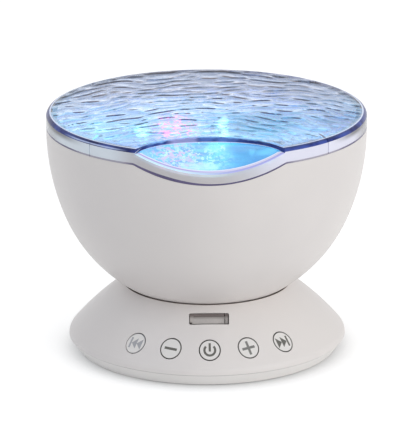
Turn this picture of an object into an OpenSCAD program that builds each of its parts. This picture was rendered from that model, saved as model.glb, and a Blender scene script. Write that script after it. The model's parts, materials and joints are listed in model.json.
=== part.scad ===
// Ocean wave projector: a tilting light bowl with a rippled lens cover on a flared base.
// Millimetres, +Z up, front toward -Y, standing on its feet at z = 0.

/* [Head] */
// Outside radius of the ball-shaped part of the bowl
bowl_r = 60.4; // [54:0.2:68]
// Outside radius where bowl and lens cover meet
rim_r = 62.6; // [55:0.2:70]
// Wall of the bowl
bowl_wall = 2; // [1.6:0.1:2.6]
// Height of the bowl's lowest point
bowl_floor = 17.6; // [17:0.1:22]
// How far the lens seam lies above the tilt axis
seam_up = 12.1; // [11:0.1:14]
// Tilt to each side of upright, degrees
tilt_max = 22.5; // [12:0.5:25]

/* [Lens cover] */
// Seam to flat top
cover_h = 6.1; // [5.4:0.1:7]
// Thickness of the clear cover
cover_wall = 2; // [1.6:0.1:2.4]
// Rounding of the cover's outer edge
cover_round = 1.9; // [1.2:0.1:2.4]
// Thickness of the clear skirt
skirt_t = 1.6; // [1.4:0.1:2]
// Height of the clear skirt below the scoop
skirt_h = 4.45; // [4:0.05:5.5]
// Where the smooth scoop starts, measured forward from the axis
scoop_y = 39.2; // [36:0.1:44]
// Step from the rippled top down to the scoop
scoop_step = 1.9; // [1.2:0.1:2.4]
// Slope of the scoop, degrees
scoop_deg = 14.5; // [12:0.5:18]
// Radius across the scoop
scoop_r = 91; // [80:1:110]
// Radius of the step's arc, seen from above
scoop_arc = 32; // [28:0.5:38]

/* [Base] */
// Widest radius of the base
base_r = 54.6; // [49:0.2:60]
// Height of the widest point
edge_z = 5.5; // [5:0.1:6.2]
// Radius of the seat's rim
seat_r = 32.8; // [29:0.2:36]
// Radius of the flare between rim and edge
flare_r = 110; // [95:1:130]
// How far the base plate's underside is set in from the widest point
plate_taper = 3.6; // [3:0.1:4.2]
// Wall of the base
base_wall = 2.2; // [1.8:0.1:2.5]

/* [Controls] */
// Button diameter
button_d = 7.9; // [7:0.1:8.8]
// Angle between neighbouring buttons, degrees
button_step = 18; // [17:0.5:20]
// Middle of the buttons above the base's edge, along the flare
button_up = 9.14; // [8.2:0.02:10]
// Button axis above level, degrees
button_deg = 22; // [18:1:26]
// Button travel
button_travel = 0.5; // [0.3:0.1:0.7]
// Width of the card window
window_w = 15.4; // [14:0.1:17]
// Height of the card window
window_h = 5.1; // [4.7:0.1:5.6]
// Middle of the card window below the seat's rim, along the flare
window_down = 6.62; // [6:0.01:7.4]

/* [Drive] */
// Radius of the turning ripple disc
disc_r = 46; // [40:0.5:50]
// Thickness of the ripple disc
disc_t = 2.5; // [2:0.1:3]
// Teeth of the drive wheel
wheel_teeth = 48; // [44:2:52]
// Teeth of the pinion
pinion_teeth = 12; // [11:1:14]
// Gear module: pitch diameter for each tooth
tooth = 1; // [0.9:0.05:1.1]

/* [Sound and power] */
// Speaker radius
speaker_r = 17; // [15:0.5:19]
// Audio plug bore
audio_d = 3.6; // [3.5:0.05:3.8]
// Power socket bore
power_d = 5.8; // [5.4:0.1:6]

/* [Hidden] */
$fn = 96;
// Running clearance, face clearance, and a hair for fits that only have to clear
gap = 0.3;
touch = 0.1;
hair = 0.05;
// Longer than any piece, for cuts that go right through
reach = 2 * rim_r;

tilt_z = bowl_floor + bowl_r;
seam_z = tilt_z + seam_up;
top_z = seam_z + cover_h;
under_z = top_z - cover_wall;
lip_gap = 0.2;
lip_t = 2.2;
lip_low = 8;
lip_r = rim_r - skirt_t - lip_gap;
lip_clear = 0.6;
lip_foot = 2.5;

// Slits that let the skirt spring over the lip
relief_deg = 46.5;
relief_w = 0.4;
relief_in = 3;

// The bowl's shoulder is an arc that leaves the ball without a kink and ends at the rim
joint_deg = 23;
joint_r = bowl_r * cos(joint_deg);
joint_z = tilt_z - bowl_r * sin(joint_deg);
shoulder_dr = rim_r - joint_r;
shoulder_dz = seam_z - joint_z;
shoulder_span = shoulder_dr * shoulder_dr + shoulder_dz * shoulder_dz;
shoulder_r = shoulder_span / (2 * (sin(joint_deg) * shoulder_dz - cos(joint_deg) * shoulder_dr));
shoulder_x = (bowl_r - shoulder_r) * cos(joint_deg);
shoulder_z = tilt_z - (bowl_r - shoulder_r) * sin(joint_deg);

// Tilt saddle, stud and the slot they need in the bowl
inner_r = bowl_r - bowl_wall;
inner_joint_z = tilt_z - inner_r * sin(joint_deg);
saddle_r = inner_r - gap;
saddle_t = 2;
saddle_w = 18;
stud_r = 4;
stud_bore = 2.5;
stud_out = 0.8;
slot_w = 2 * (stud_r + gap);
slot_spare = 0.5;
slot_deg = tilt_max + asin((stud_r + gap) / inner_r) + slot_spare;
saddle_deg = slot_deg + tilt_max + slot_spare;
dish_r = bowl_r + gap;
dish_under = tilt_z - dish_r - base_wall;
pad_r = 9;
pad_t = 0.5;
pad_z = dish_under - pad_t;
washer_r = 8;
washer_t = 1;
washer_gap = 0.2;
nut_t = 3.4;
nut_af = 10;

// The flare is an arc from the seat's rim to the base's rounded edge
edge_up = 1.3;
seat_z = tilt_z - leg(dish_r, seat_r);
corner_z = edge_z + edge_up;
chord_r = base_r - seat_r;
chord_z = corner_z - seat_z;
chord = sqrt(chord_r * chord_r + chord_z * chord_z);
chord_up = leg(flare_r, chord / 2);
flare_x = (seat_r + base_r) / 2 + chord_up * chord_z / chord;
flare_z = (seat_z + corner_z) / 2 - chord_up * chord_r / chord;
seat_a = atan2(seat_z - flare_z, seat_r - flare_x);
corner_a = atan2(corner_z - flare_z, base_r - flare_x);
edge_a = base_r - flare_x;
edge_b = edge_z - flare_z;
edge_round = (flare_r * flare_r - edge_a * edge_a - edge_b * edge_b) / (2 * (flare_r - edge_a));
edge_deg = atan2(edge_b, edge_a - edge_round);
edge_top = edge_z + edge_round * sin(edge_deg);
part_z = edge_z - 0.2;

// Base plate, its feet and screws
plate_z = 0.6;
plate_top = 2.8;
plate_in = 0.2;
edge_wall = 2.4;
tongue_r = base_r - edge_wall - 1;
tongue_t = 1.6;
tongue_up = 1.6;
root = 0.5;
foot_r = 5;
foot_in = 0.8;
foot_edge = 15;
foot_at = (base_r - foot_edge) * cos(45);
base_screw_edge = 12.6;
base_screw_deg = 30;
screw_x = (base_r - base_screw_edge) * cos(base_screw_deg);
screw_y = (base_r - base_screw_edge) * sin(base_screw_deg);
pillar_r = 3.5;
post_r = 4;
base_head = 2.8;
base_shank = 1.35;
base_hole = 1.6;
base_sunk = 1.4;
base_grip = 7;

// Board screws, and the larger ones for motor, lamps and speaker
board_head = 1.8;
board_head_h = 1;
board_shank = 0.9;
board_pilot = 0.95;
board_hole = 1.1;
board_post = 2.4;
board_t = 1.6;
mid_head = 2.1;
mid_head_h = 1.2;
mid_shank = 1.05;
mid_pilot = 1.1;
mid_hole = 1.3;
mid_grip = 4;

// Buttons and their switches
button_r = button_d / 2;
button_a = corner_a + along_flare(button_up);
button_at = flare_x + flare_r * cos(button_a);
button_z = flare_z + flare_r * sin(button_a);
button_lean = button_a - button_deg;
flange_out = 0.8;
flange_r = button_r + flange_out;
flange_room = 0.75;
flange_in = (base_wall + flange_r * sin(button_lean)) / cos(button_lean) + flange_room;
flange_t = 1;
stem_r = 1.6;
stem_l = 1.2;
stem_in = flange_in + flange_t + stem_l;
plunger_r = 1.7;
plunger_l = 0.9;
plunger_in = stem_in + button_travel + touch;
switch_in = plunger_in + plunger_l;
switch_w = 6;
switch_t = 3.4;
carrier_in = switch_in + switch_t;
carrier_t = 2;
carrier_edge = 0.2;
carrier_lap = 1.2;
carrier_r = button_at - carrier_in * cos(button_deg);
tile_w = 2 * carrier_r * tan(button_step / 2) + carrier_lap;

// Card window and socket
window_a = seat_a - along_flare(window_down);
window_at = flare_x + flare_r * cos(window_a);
window_z = flare_z + flare_r * sin(window_a);
window_deg = 35;
window_round = 0.6;
socket_in = 1.8;
socket_l = 13.2;
socket_side = 0.3;
socket_low = 1 - window_h / 2;
socket_high = window_h / 2 - 0.2;
slit_w = window_w - 3.4;
slit_h = 1.2;
slit_low = socket_high - 0.8 - slit_h;
slit_l = 11.2;
shutter_in = 0.4;
shutter_t = 0.4;
shutter_gap = 0.15;
latch_edge = 1.3;
latch_w = 0.4;
latch_l = 1.5;
key_w = 0.8;
key_h = 0.6;
card_front = 3.6;
card_back = 1;
card_side = 3;
card_post_x = window_w / 2 + 2.9;
card_post_in = 7.6;
card_post_r = 2;
card_grip = 3;
card_under = socket_low - board_t;

// Pocket for the sockets at the back
pocket_w = 30;
pocket_depth = 8.6;
pocket_y = base_r - pocket_depth;
pocket_z = 6.8;
pocket_wall = 2;
sockets_x = 7;
sockets_z = 10.6;
sockets_top = 13;
sockets_l = 12;
sockets_in = pocket_y - sockets_l;
collar_l = 4;
collar_gap = 0.2;
power_w = 9;
power_collar = 4;
power_out = 0.5;
power_deep = 9;
power_pin = 1;
audio_w = 8;
audio_collar = 3.5;
audio_out = 0.6;
audio_deep = 11;
board_top = 6.5;
socket_board_w = 34;
socket_board_l = 10;
socket_post_x = socket_board_w / 2 - 2.7;
socket_post_y = pocket_y - 6;

// Light deck and lamps in the head
deck_drop = 15.5;
deck_z = tilt_z - deck_drop;
deck_t = 2;
deck_top = deck_z + deck_t;
deck_gap = 2;
deck_r = inside_at(deck_z) - deck_gap;
boss_edge = 8;
boss_at = deck_r - boss_edge;
boss_r = 3.2;
deck_head = 2.6;
deck_head_h = 1.6;
deck_shank = 1.2;
deck_pilot = 1.25;
deck_hole = 1.6;
deck_grip = 8;
wire_at = 20;
wire_r = 5;
reflector_t = 1.4;
reflector_h = 19.5;
reflector_low = boss_at + deck_head + 0.9;
reflector_high = min(lip_r - lip_t - 0.4, inside_at(deck_top + reflector_h) - 1.5);
led_up = 7;
led_z = deck_top + led_up;
led_board_r = reflector_low - 4;
led_post_edge = 6.4;
led_post = (led_board_r - led_post_edge) * cos(45);
led_post_r = 3;
led_grip = 5;
led_ring = led_board_r - 14;
led_count = 12;
led_w = 3.5;
led_h = 1.4;
lens_r = 3;
lens_sunk = 0.8;
led_top = led_z + board_t + led_h;

// Ripple disc and its drive
spindle_r = 2;
spindle_flange = 5;
spindle_flange_t = 1.5;
hub_r = 5;
hub_low = 1;
hub_collar = 1.5;
hub_collar_t = 0.8;
led_bore = hub_r + 3.5;
wheel_t = 4;
wheel_up = 1.5;
wheel_z = deck_top + wheel_up;
disc_up = 14.5;
disc_z = deck_top + disc_up;
hub_top = disc_z + disc_t + 0.5;
clip_r = 4.2;
clip_t = 0.8;
spindle_top = hub_top + 2;
wheel_pitch = wheel_teeth * tooth / 2;
pinion_pitch = pinion_teeth * tooth / 2;
pinion_x = wheel_pitch + pinion_pitch;
pinion_over = 0.4;
tooth_w = 1.3 * tooth;
web_r = 4.2;
web_at = (hub_r + wheel_pitch) / 2 - 1;
shaft_r = 1.5;
shaft_in = 7;
shaft_hole = 2.4;
motor_r = 10;
motor_drop = 1;
motor_clear = 9;
motor_depth = leg(inner_r, pinion_x + motor_r) - deck_drop - motor_drop;
motor_h = motor_depth - motor_clear;
motor_boss = 4;
motor_ear = motor_r + 1.2;
motor_ear_r = 4;
motor_ear_t = 1.5;

// Speaker and control board
speaker_y = sockets_in - speaker_r + 3;
speaker_ear = speaker_r + 2;
speaker_ear_r = 3;
basket_t = 1.5;
basket_top = plate_top + basket_t;
basket_wall = 0.8;
basket_h = 6.4;
basket_r = speaker_r - 3;
magnet_r = speaker_r - 8;
magnet_h = 3.4;
cone_t = 0.6;
cone_low = 0.7;
cap_r = 4;
grille_r = 1.1;
grille_ring = 4.2;
ctrl_back = 3;
ctrl_front = carrier_r - 12.7;
ctrl_x = carrier_r - 15.7;
ctrl_z = 5;
ctrl_top = ctrl_z + board_t;
ctrl_mid = (ctrl_front + ctrl_back) / 2;
ctrl_post_edge = 3.5;
ctrl_post_x = ctrl_x - ctrl_post_edge;
ctrl_post_front = ctrl_front - ctrl_post_edge;
ctrl_post_back = ctrl_back + ctrl_post_edge;
chip_w = 8;
chip_h = 1.2;
can_r = 2.5;
can_h = 3.6;

// Second leg of a right triangle
function leg(long, short) = sqrt(long * long - short * short);

// Turn about the flare's centre for a distance along it
function along_flare(s) = s * 180 / (PI * flare_r);

// Inside radius of the bowl at a height
function inside_at(z) = min(
    rim_r - bowl_wall,
    z < inner_joint_z
        ? leg(inner_r, z - tilt_z)
        : shoulder_x + leg(shoulder_r - bowl_wall, z - shoulder_z)
);

// Radius of the bowl's shoulder at a height, moved inward by the given inset
function shoulder_at(z, inset) = min(
    rim_r - inset,
    shoulder_x + leg(shoulder_r - inset, z - shoulder_z)
);

// Heights where the cover's skirt follows the shoulder
skirt_levels = [for (i = [0:4]) tilt_z + (seam_z - tilt_z) * i / 4];

// Shared forms

// Half outline of the bowl, moved inward by the given inset; it never stands out past the rim
module bowl_half(inset) {
    split = tilt_z - (bowl_r - inset) * sin(joint_deg);
    low = tilt_z - bowl_r - 1;
    wide = rim_r - inset + hair;
    intersection() {
        translate([0, tilt_z]) circle(r = bowl_r - inset);
        translate([0, low]) square([wide, split - low]);
    }
    intersection() {
        translate([shoulder_x, shoulder_z]) circle(r = shoulder_r - inset);
        translate([0, split]) square([wide, top_z - split]);
    }
}

module bowl_solid(inset) {
    rotate_extrude() bowl_half(inset);
}

// What the scoop takes out of the cover, grown by the given wall
module scoop(wall) {
    intersection() {
        translate([0, -scoop_y, top_z - scoop_step])
            rotate([scoop_deg, 0, 0])
                translate([0, 0, scoop_r])
                    rotate([90, 0, 0])
                        cylinder(r = scoop_r + wall, h = reach, center = true);
        translate([0, -scoop_y - scoop_arc, tilt_z]) cylinder(r = scoop_arc + wall, h = reach);
    }
}

// Everything below the seam between cover and bowl
module below_seam(drop) {
    difference() {
        rod(rim_r + pad_r, plate_z, seam_z - drop);
        scoop(skirt_h + drop);
    }
}

// Wedge about the tilt axis, pointing down, of half angle deg and width w
module tilt_wedge(deg, w) {
    translate([0, 0, tilt_z])
        rotate([90, 0, 90])
            linear_extrude(height = w, center = true)
                polygon([[0, 0], [-reach * tan(deg), -reach], [reach * tan(deg), -reach]]);
}

// Base outside, without the seat
module flare_solid() {
    rotate_extrude() {
        intersection() {
            translate([flare_x, flare_z]) circle(r = flare_r);
            translate([0, edge_top]) square([base_r + edge_round, seat_r]);
        }
        intersection() {
            union() {
                translate([base_r - edge_round, edge_z]) circle(r = edge_round);
                translate([0, part_z - 5]) square([base_r - edge_round, seat_r]);
            }
            translate([0, part_z]) square([base_r + edge_round, edge_top - part_z]);
        }
    }
}

module base_hollow() {
    difference() {
        rotate_extrude()
            intersection() {
                translate([flare_x, flare_z]) circle(r = flare_r - base_wall);
                translate([0, part_z - 1]) square([base_r - edge_wall, base_r]);
            }
        translate([0, 0, tilt_z]) sphere(r = dish_r + base_wall);
    }
}

// Local frame on the flare: -Y points outward, leaning up by deg
module at_flare(turn, r, z, deg) {
    rotate([0, 0, turn])
        translate([0, -r, z])
            rotate([-deg, 0, 0])
                children();
}

// Round bar in the local frame from depth a to depth b
module bar(r, a, b) {
    translate([0, b, 0]) rotate([90, 0, 0]) cylinder(r = r, h = b - a);
}

module at_button(i) {
    at_flare(i * button_step, button_at, button_z, button_deg) children();
}

module at_buttons() {
    for (i = [-2:2]) at_button(i) children();
}

module at_window() {
    at_flare(0, window_at, window_z, window_deg) children();
}

module at_card_posts() {
    at_window() for (s = [-1, 1]) translate([s * card_post_x, card_post_in, 0]) children();
}

module at_reliefs() {
    for (a = [relief_deg, 180 - relief_deg, 180 + relief_deg, -relief_deg])
        rotate([0, 0, a]) children();
}

// Block in the local frame: full width w, thickness from z0 to z1, depth from a to b
module block(w, z0, z1, a, b) {
    translate([-w / 2, a, z0]) cube([w, b - a, z1 - z0]);
}

// Card window with rounded corners, from depth a to depth b
module window_hole(a, b) {
    w = window_w - 2 * window_round;
    h = window_h - 2 * window_round;
    at_window() {
        block(w, -window_h / 2, window_h / 2, a, b);
        block(window_w, -h / 2, h / 2, a, b);
        for (sx = [-1, 1])
            for (sz = [-1, 1])
                translate([sx * w / 2, 0, sz * h / 2]) bar(window_round, a, b);
    }
}

module at_corners(x, y) {
    for (sx = [-1, 1]) for (sy = [-1, 1]) translate([sx * x, sy * y, 0]) children();
}

module at_sides(x, y) {
    for (s = [-1, 1]) translate([s * x, y, 0]) children();
}

module at_bosses() {
    for (a = [45:90:315]) rotate([0, 0, a]) translate([boss_at, 0, 0]) children();
}

module at_pinion() {
    translate([pinion_x, 0, 0]) children();
}

module at_motor_ears() {
    at_pinion() for (s = [-1, 1]) translate([0, s * motor_ear, 0]) children();
}

module at_leds() {
    for (i = [0:led_count - 1])
        rotate([0, 0, (i + 0.5) * 360 / led_count]) translate([led_ring, 0, 0]) children();
}

module at_control_posts() {
    at_sides(ctrl_post_x, -ctrl_post_front) children();
    at_sides(ctrl_post_x, -ctrl_post_back) children();
}

module at_speaker() {
    translate([0, speaker_y, 0]) children();
}

module at_socket(x) {
    translate([x, pocket_y, sockets_z]) children();
}

module tube(r_out, r_in, z0, z1) {
    difference() {
        rod(r_out, z0, z1);
        rod(r_in, z0 - 1, z1 + 1);
    }
}

module rod(r, z0, z1) {
    translate([0, 0, z0]) cylinder(r = r, h = z1 - z0);
}

// Screw with a round head above the seat height and its shank below
module screw(seat, head_r, head_h, shank_r, tip) {
    rod(head_r, seat, seat + head_h);
    rod(shank_r, tip, seat + head_h / 2);
}

module board_screw(seat, tip) {
    screw(seat, board_head, board_head_h, board_shank, tip);
}

module mid_screw(seat, tip) {
    screw(seat, mid_head, mid_head_h, mid_shank, tip);
}

// Spur gear outline of n straight-sided teeth
module gear_outline(n) {
    pitch = n * tooth / 2;
    low = pitch - 1.2 * tooth;
    tip = pitch + 0.75 * tooth;
    half_low = 90 * (tooth_w + 0.5 * tooth) / (PI * pitch);
    half_tip = 90 * (tooth_w - 0.55 * tooth) / (PI * pitch);
    polygon([
        for (i = [0:n - 1])
            for (p = [[low, -half_low], [tip, -half_tip], [tip, half_tip], [low, half_low]])
                [p[0] * cos(i * 360 / n + p[1]), p[0] * sin(i * 360 / n + p[1])]
    ]);
}

// Head

module bowl_shell() {
    color("white")
        difference() {
            union() {
                difference() {
                    intersection() {
                        bowl_solid(0);
                        below_seam(touch);
                    }
                    difference() {
                        bowl_solid(bowl_wall);
                        at_bosses() rod(boss_r, plate_z, deck_z);
                    }
                }
                intersection() {
                    difference() {
                        tube(rim_r, lip_r - lip_t, seam_z - lip_low, under_z);
                        scoop(cover_wall + lip_clear);
                    }
                    bowl_solid(skirt_t + lip_gap);
                }
                intersection() {
                    tube(rim_r, lip_r - lip_t, seam_z - lip_low, seam_z - lip_low + lip_foot);
                    bowl_solid(bowl_wall / 2);
                    below_seam(touch);
                }
            }
            tilt_wedge(slot_deg, slot_w);
            at_bosses() rod(deck_pilot, deck_z - deck_grip - 2, deck_top);
        }
}

module lens_cover() {
    round_r = rim_r - cover_round;
    round_z = top_z - cover_round;
    color("lightcyan")
        difference() {
            rotate_extrude()
                polygon(concat(
                    [[0, tilt_z]],
                    [for (z = skirt_levels) [shoulder_at(z, 0), z]],
                    [for (a = [0:15:90])
                        [round_r + cover_round * cos(a), round_z + cover_round * sin(a)]],
                    [[0, top_z]]
                ));
            scoop(0);
            difference() {
                rotate_extrude()
                    polygon(concat(
                        [[0, tilt_z - 1]],
                        [for (z = skirt_levels) [shoulder_at(z, skirt_t), z == tilt_z ? z - 1 : z]],
                        [[rim_r - skirt_t, under_z], [0, under_z]]
                    ));
                scoop(cover_wall);
            }
            below_seam(0);
            at_reliefs()
                translate([-relief_w / 2, -reach, tilt_z])
                    cube([relief_w, reach - rim_r + relief_in, reach]);
        }
}

module reflector() {
    rise = deck_top + reflector_h;
    color("silver")
        rotate_extrude()
            polygon([
                [reflector_low, deck_top],
                [reflector_low + reflector_t, deck_top],
                [reflector_high, rise],
                [reflector_high - reflector_t, rise]
            ]);
}

module light_deck() {
    color("gainsboro")
        difference() {
            union() {
                rod(deck_r, deck_z, deck_top);
                at_corners(led_post, led_post) rod(led_post_r, deck_z + root, led_z);
            }
            rod(spindle_r + touch, deck_z - 1, deck_top + 1);
            at_pinion() rod(shaft_hole, deck_z - 1, deck_top + 1);
            at_motor_ears() rod(mid_hole, deck_z - 1, deck_top + 1);
            at_bosses() rod(deck_hole, deck_z - 1, deck_top + 1);
            at_corners(led_post, led_post) rod(mid_pilot, led_z - led_grip - 1, led_z + 1);
            translate([-wire_at, -wire_at, 0]) rod(wire_r, deck_z - 1, deck_top + 1);
        }
}

module deck_screws() {
    color("silver")
        at_bosses() screw(deck_top, deck_head, deck_head_h, deck_shank, deck_z - deck_grip);
}

module led_board() {
    color("darkgreen")
        difference() {
            tube(led_board_r, led_bore, led_z, led_z + board_t);
            at_corners(led_post, led_post) rod(mid_hole, led_z - 1, led_z + board_t + 1);
        }
}

module led_board_screws() {
    color("silver") at_corners(led_post, led_post) mid_screw(led_z + board_t, led_z - led_grip);
}

module leds() {
    color("lightyellow")
        at_leds() translate([-led_w / 2, -led_w / 2, led_top - led_h]) cube([led_w, led_w, led_h]);
}

module led_lenses() {
    color("lightcyan")
        at_leds()
            intersection() {
                translate([0, 0, led_top - lens_sunk]) sphere(r = lens_r);
                rod(lens_r + 1, led_top, led_top + lens_r);
            }
}

module spindle() {
    color("silver") {
        rod(spindle_r, deck_z - 1, spindle_top);
        rod(spindle_flange, deck_z - spindle_flange_t, deck_z);
    }
}

module retaining_clip() {
    color("dimgray") tube(clip_r, spindle_r + hair, hub_top + gap, hub_top + gap + clip_t);
}

module gear_motor() {
    color("lightgray")
        difference() {
            union() {
                at_pinion() {
                    rod(motor_r, deck_z - motor_drop - motor_h, deck_z - motor_drop);
                    rod(motor_boss, deck_z - motor_drop - root, deck_z);
                    translate([-motor_ear_r, -motor_ear, deck_z - motor_ear_t])
                        cube([2 * motor_ear_r, 2 * motor_ear, motor_ear_t]);
                }
                at_motor_ears() rod(motor_ear_r, deck_z - motor_ear_t, deck_z);
            }
            at_pinion() rod(shaft_r + hair, deck_z - shaft_in - 1, deck_z + 1);
            at_motor_ears() rod(mid_pilot, deck_z - mid_grip - 1, deck_z + 1);
        }
}

module motor_screws() {
    color("silver") at_motor_ears() mid_screw(deck_top, deck_z - mid_grip);
}

module ripple_disc() {
    color("paleturquoise")
        difference() {
            union() {
                rod(disc_r, disc_z, disc_z + disc_t);
                rod(hub_r, deck_top + hub_low, hub_top);
                rod(hub_r + hub_collar, wheel_z + wheel_t, wheel_z + wheel_t + hub_collar_t);
            }
            rod(spindle_r + hair, deck_top, hub_top + 1);
        }
}

module drive_wheel() {
    color("ivory")
        difference() {
            translate([0, 0, wheel_z]) linear_extrude(height = wheel_t) gear_outline(wheel_teeth);
            rod(hub_r + hair, wheel_z - 1, wheel_z + wheel_t + 1);
            for (a = [30:60:330])
                rotate([0, 0, a])
                    translate([web_at, 0, 0])
                        rod(web_r, wheel_z - 1, wheel_z + wheel_t + 1);
        }
}

module pinion() {
    color("ivory")
        at_pinion() {
            translate([0, 0, wheel_z - pinion_over])
                linear_extrude(height = wheel_t + 2 * pinion_over)
                    rotate([0, 0, 180 + 180 / pinion_teeth])
                        gear_outline(pinion_teeth);
            rod(shaft_r, deck_z - shaft_in, wheel_z);
        }
}

// Base

module base_shell() {
    color("white")
        difference() {
            flare_solid();
            translate([0, 0, tilt_z]) sphere(r = dish_r);
            difference() {
                base_hollow();
                at_corners(screw_x, screw_y) rod(pillar_r, part_z, seat_z);
                rod(pad_r, pad_z, dish_under + 4);
                at_card_posts() rod(card_post_r, socket_low, seat_r);
                translate([-pocket_w / 2 - pocket_wall, pocket_y - pocket_wall, part_z])
                    cube([pocket_w + 2 * pocket_wall, base_r, seat_z]);
            }
            translate([-pocket_w / 2, pocket_y, pocket_z]) cube([pocket_w, base_r, seat_z]);
            at_socket(sockets_x) bar(audio_collar + collar_gap, -10, 10);
            at_socket(-sockets_x) bar(power_collar + collar_gap, -10, 10);
            rod(stud_r + touch, pad_z - 5, tilt_z - bowl_r + 10);
            at_corners(screw_x, screw_y) rod(base_shank + touch, part_z - 1, part_z + base_grip + 1);
            at_buttons() bar(button_r + gap, -button_d, flange_in + 1);
            window_hole(-10, 6);
            at_card_posts() rod(board_pilot, socket_low - 1, socket_low + card_grip);
        }
}

module base_plate() {
    color("white")
        difference() {
            union() {
                difference() {
                    rotate_extrude()
                        polygon([
                            [0, plate_z],
                            [base_r - plate_taper, plate_z],
                            [base_r - plate_in, part_z - touch],
                            [0, part_z - touch]
                        ]);
                    rod(tongue_r - root, plate_top, base_r);
                }
                difference() {
                    tube(tongue_r, tongue_r - tongue_t, plate_top - root, part_z + tongue_up);
                    translate([-pocket_w / 2 - pocket_wall - root, 0, plate_top])
                        cube([pocket_w + 2 * pocket_wall + 2 * root, base_r, base_r]);
                }
                at_corners(screw_x, screw_y) rod(post_r, plate_top - root, part_z);
                at_control_posts() rod(board_post, plate_top - root, ctrl_z);
                at_sides(socket_post_x, socket_post_y)
                    rod(board_post, plate_top - root, board_top - board_t);
            }
            at_corners(screw_x, screw_y) {
                rod(base_head + gap, plate_z - 1, plate_z + base_sunk);
                rod(base_hole, plate_z - 1, part_z + 1);
            }
            at_corners(foot_at, foot_at) rod(foot_r + touch, plate_z - 1, plate_z + foot_in);
            at_control_posts() rod(board_pilot, plate_top, ctrl_z + 1);
            at_sides(socket_post_x, socket_post_y) rod(board_pilot, plate_top, board_top);
            at_sides(speaker_ear, speaker_y) rod(mid_pilot, plate_z + root, plate_top + 1);
            at_speaker() {
                rod(grille_r, plate_z - 1, plate_top + 1);
                for (a = [0:60:300])
                    rotate([0, 0, a])
                        translate([grille_ring, 0, 0]) rod(grille_r, plate_z - 1, plate_top + 1);
                for (a = [0:30:330])
                    rotate([0, 0, a])
                        translate([2 * grille_ring, 0, 0]) rod(grille_r, plate_z - 1, plate_top + 1);
            }
        }
}

module base_screws() {
    color("silver")
        at_corners(screw_x, screw_y) {
            rod(base_head, plate_z + lip_gap, plate_z + base_sunk);
            rod(base_shank, plate_z + root, part_z + base_grip);
        }
}

module feet() {
    color("dimgray") at_corners(foot_at, foot_at) rod(foot_r, 0, plate_z + foot_in);
}

module tilt_saddle() {
    stud_low = pad_z - washer_t - nut_t - stud_out;
    color("gainsboro")
        difference() {
            union() {
                intersection() {
                    difference() {
                        translate([0, 0, tilt_z]) sphere(r = saddle_r);
                        translate([0, 0, tilt_z]) sphere(r = saddle_r - saddle_t);
                    }
                    tilt_wedge(saddle_deg, saddle_w);
                }
                rod(stud_r, stud_low, tilt_z - saddle_r + saddle_t / 2);
            }
            rod(stud_bore, stud_low - 1, tilt_z - saddle_r + 2 * saddle_t);
        }
}

module wave_washer() {
    color("silver") tube(washer_r, stud_r + washer_gap, pad_z - washer_t, pad_z);
}

module lock_nut() {
    low = pad_z - washer_t - nut_t;
    color("silver")
        difference() {
            translate([0, 0, low]) cylinder(r = nut_af / 2 / cos(30), h = nut_t, $fn = 6);
            rod(stud_r + hair, low - 1, low + nut_t + 1);
        }
}

module control_board() {
    color("darkgreen")
        difference() {
            translate([-ctrl_x, -ctrl_front, ctrl_z])
                cube([2 * ctrl_x, ctrl_front - ctrl_back, board_t]);
            at_control_posts() rod(board_hole, ctrl_z - 1, ctrl_top + 1);
        }
}

// Controller, memory and driver chips with two capacitors
module board_parts() {
    color("dimgray") {
        translate([-chip_w - 1, -ctrl_mid - chip_w / 2, ctrl_top]) cube([chip_w, chip_w, chip_h]);
        translate([2, 2 - ctrl_front, ctrl_top]) cube([chip_w - 3, chip_w / 2, chip_h]);
        translate([3 - chip_w, 1 - ctrl_front, ctrl_top]) cube([chip_w - 3, chip_w / 2 - 1, chip_h]);
        translate([ctrl_post_x - 6.5, -ctrl_back - 6, 0]) rod(can_r, ctrl_top, ctrl_top + can_h);
        translate([ctrl_post_x - 2, -ctrl_mid, 0]) rod(can_r - 0.5, ctrl_top, ctrl_top + can_h);
    }
}

module control_screws() {
    color("silver") at_control_posts() board_screw(ctrl_top, plate_top + root);
}

module switch_carrier() {
    color("gainsboro")
        difference() {
            at_buttons()
                block(
                    tile_w,
                    -button_z - 3,
                    switch_w / 2 + carrier_edge,
                    carrier_in,
                    carrier_in + carrier_t
                );
            rod(reach, plate_top - reach, plate_top);
        }
}

module tact_switches() {
    color("dimgray")
        at_buttons() {
            block(switch_w, -switch_w / 2, switch_w / 2, switch_in, carrier_in);
            bar(plunger_r, plunger_in, switch_in + root);
        }
}

// Socket with a spring shutter in its slit, a latch groove and a key notch
module card_socket() {
    half = window_w / 2 - socket_side;
    shutter_at = socket_in + shutter_in;
    color("silver")
        at_window() {
            difference() {
                block(2 * half, socket_low, socket_high, socket_in, socket_in + socket_l);
                block(slit_w, slit_low, slit_low + slit_h, socket_in - 1, socket_in + slit_l);
                translate([half - latch_edge, 0, 0])
                    block(latch_w, socket_low - 1, socket_high + 1, socket_in - 1, socket_in + latch_l);
                translate([-half, 0, socket_low])
                    block(2 * key_w, -key_h, key_h, socket_in - 1, socket_in + latch_l);
            }
            block(
                slit_w + root,
                slit_low + shutter_gap,
                slit_low + slit_h + hair,
                shutter_at,
                shutter_at + shutter_t
            );
        }
}

module card_board() {
    front = socket_in + card_front;
    color("darkgreen")
        difference() {
            at_window() {
                block(
                    2 * (card_post_x + card_side),
                    card_under,
                    socket_low,
                    front,
                    card_post_in + card_side
                );
                block(window_w, card_under, socket_low, front, socket_in + socket_l + card_back);
            }
            at_card_posts() rod(board_hole, card_under - 1, socket_low + 1);
        }
}

module card_screws() {
    color("silver")
        at_card_posts() {
            rod(board_head, card_under - board_head_h, card_under);
            rod(board_shank, card_under - board_head_h / 2, card_under + board_t + card_grip - 0.5);
        }
}

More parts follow.
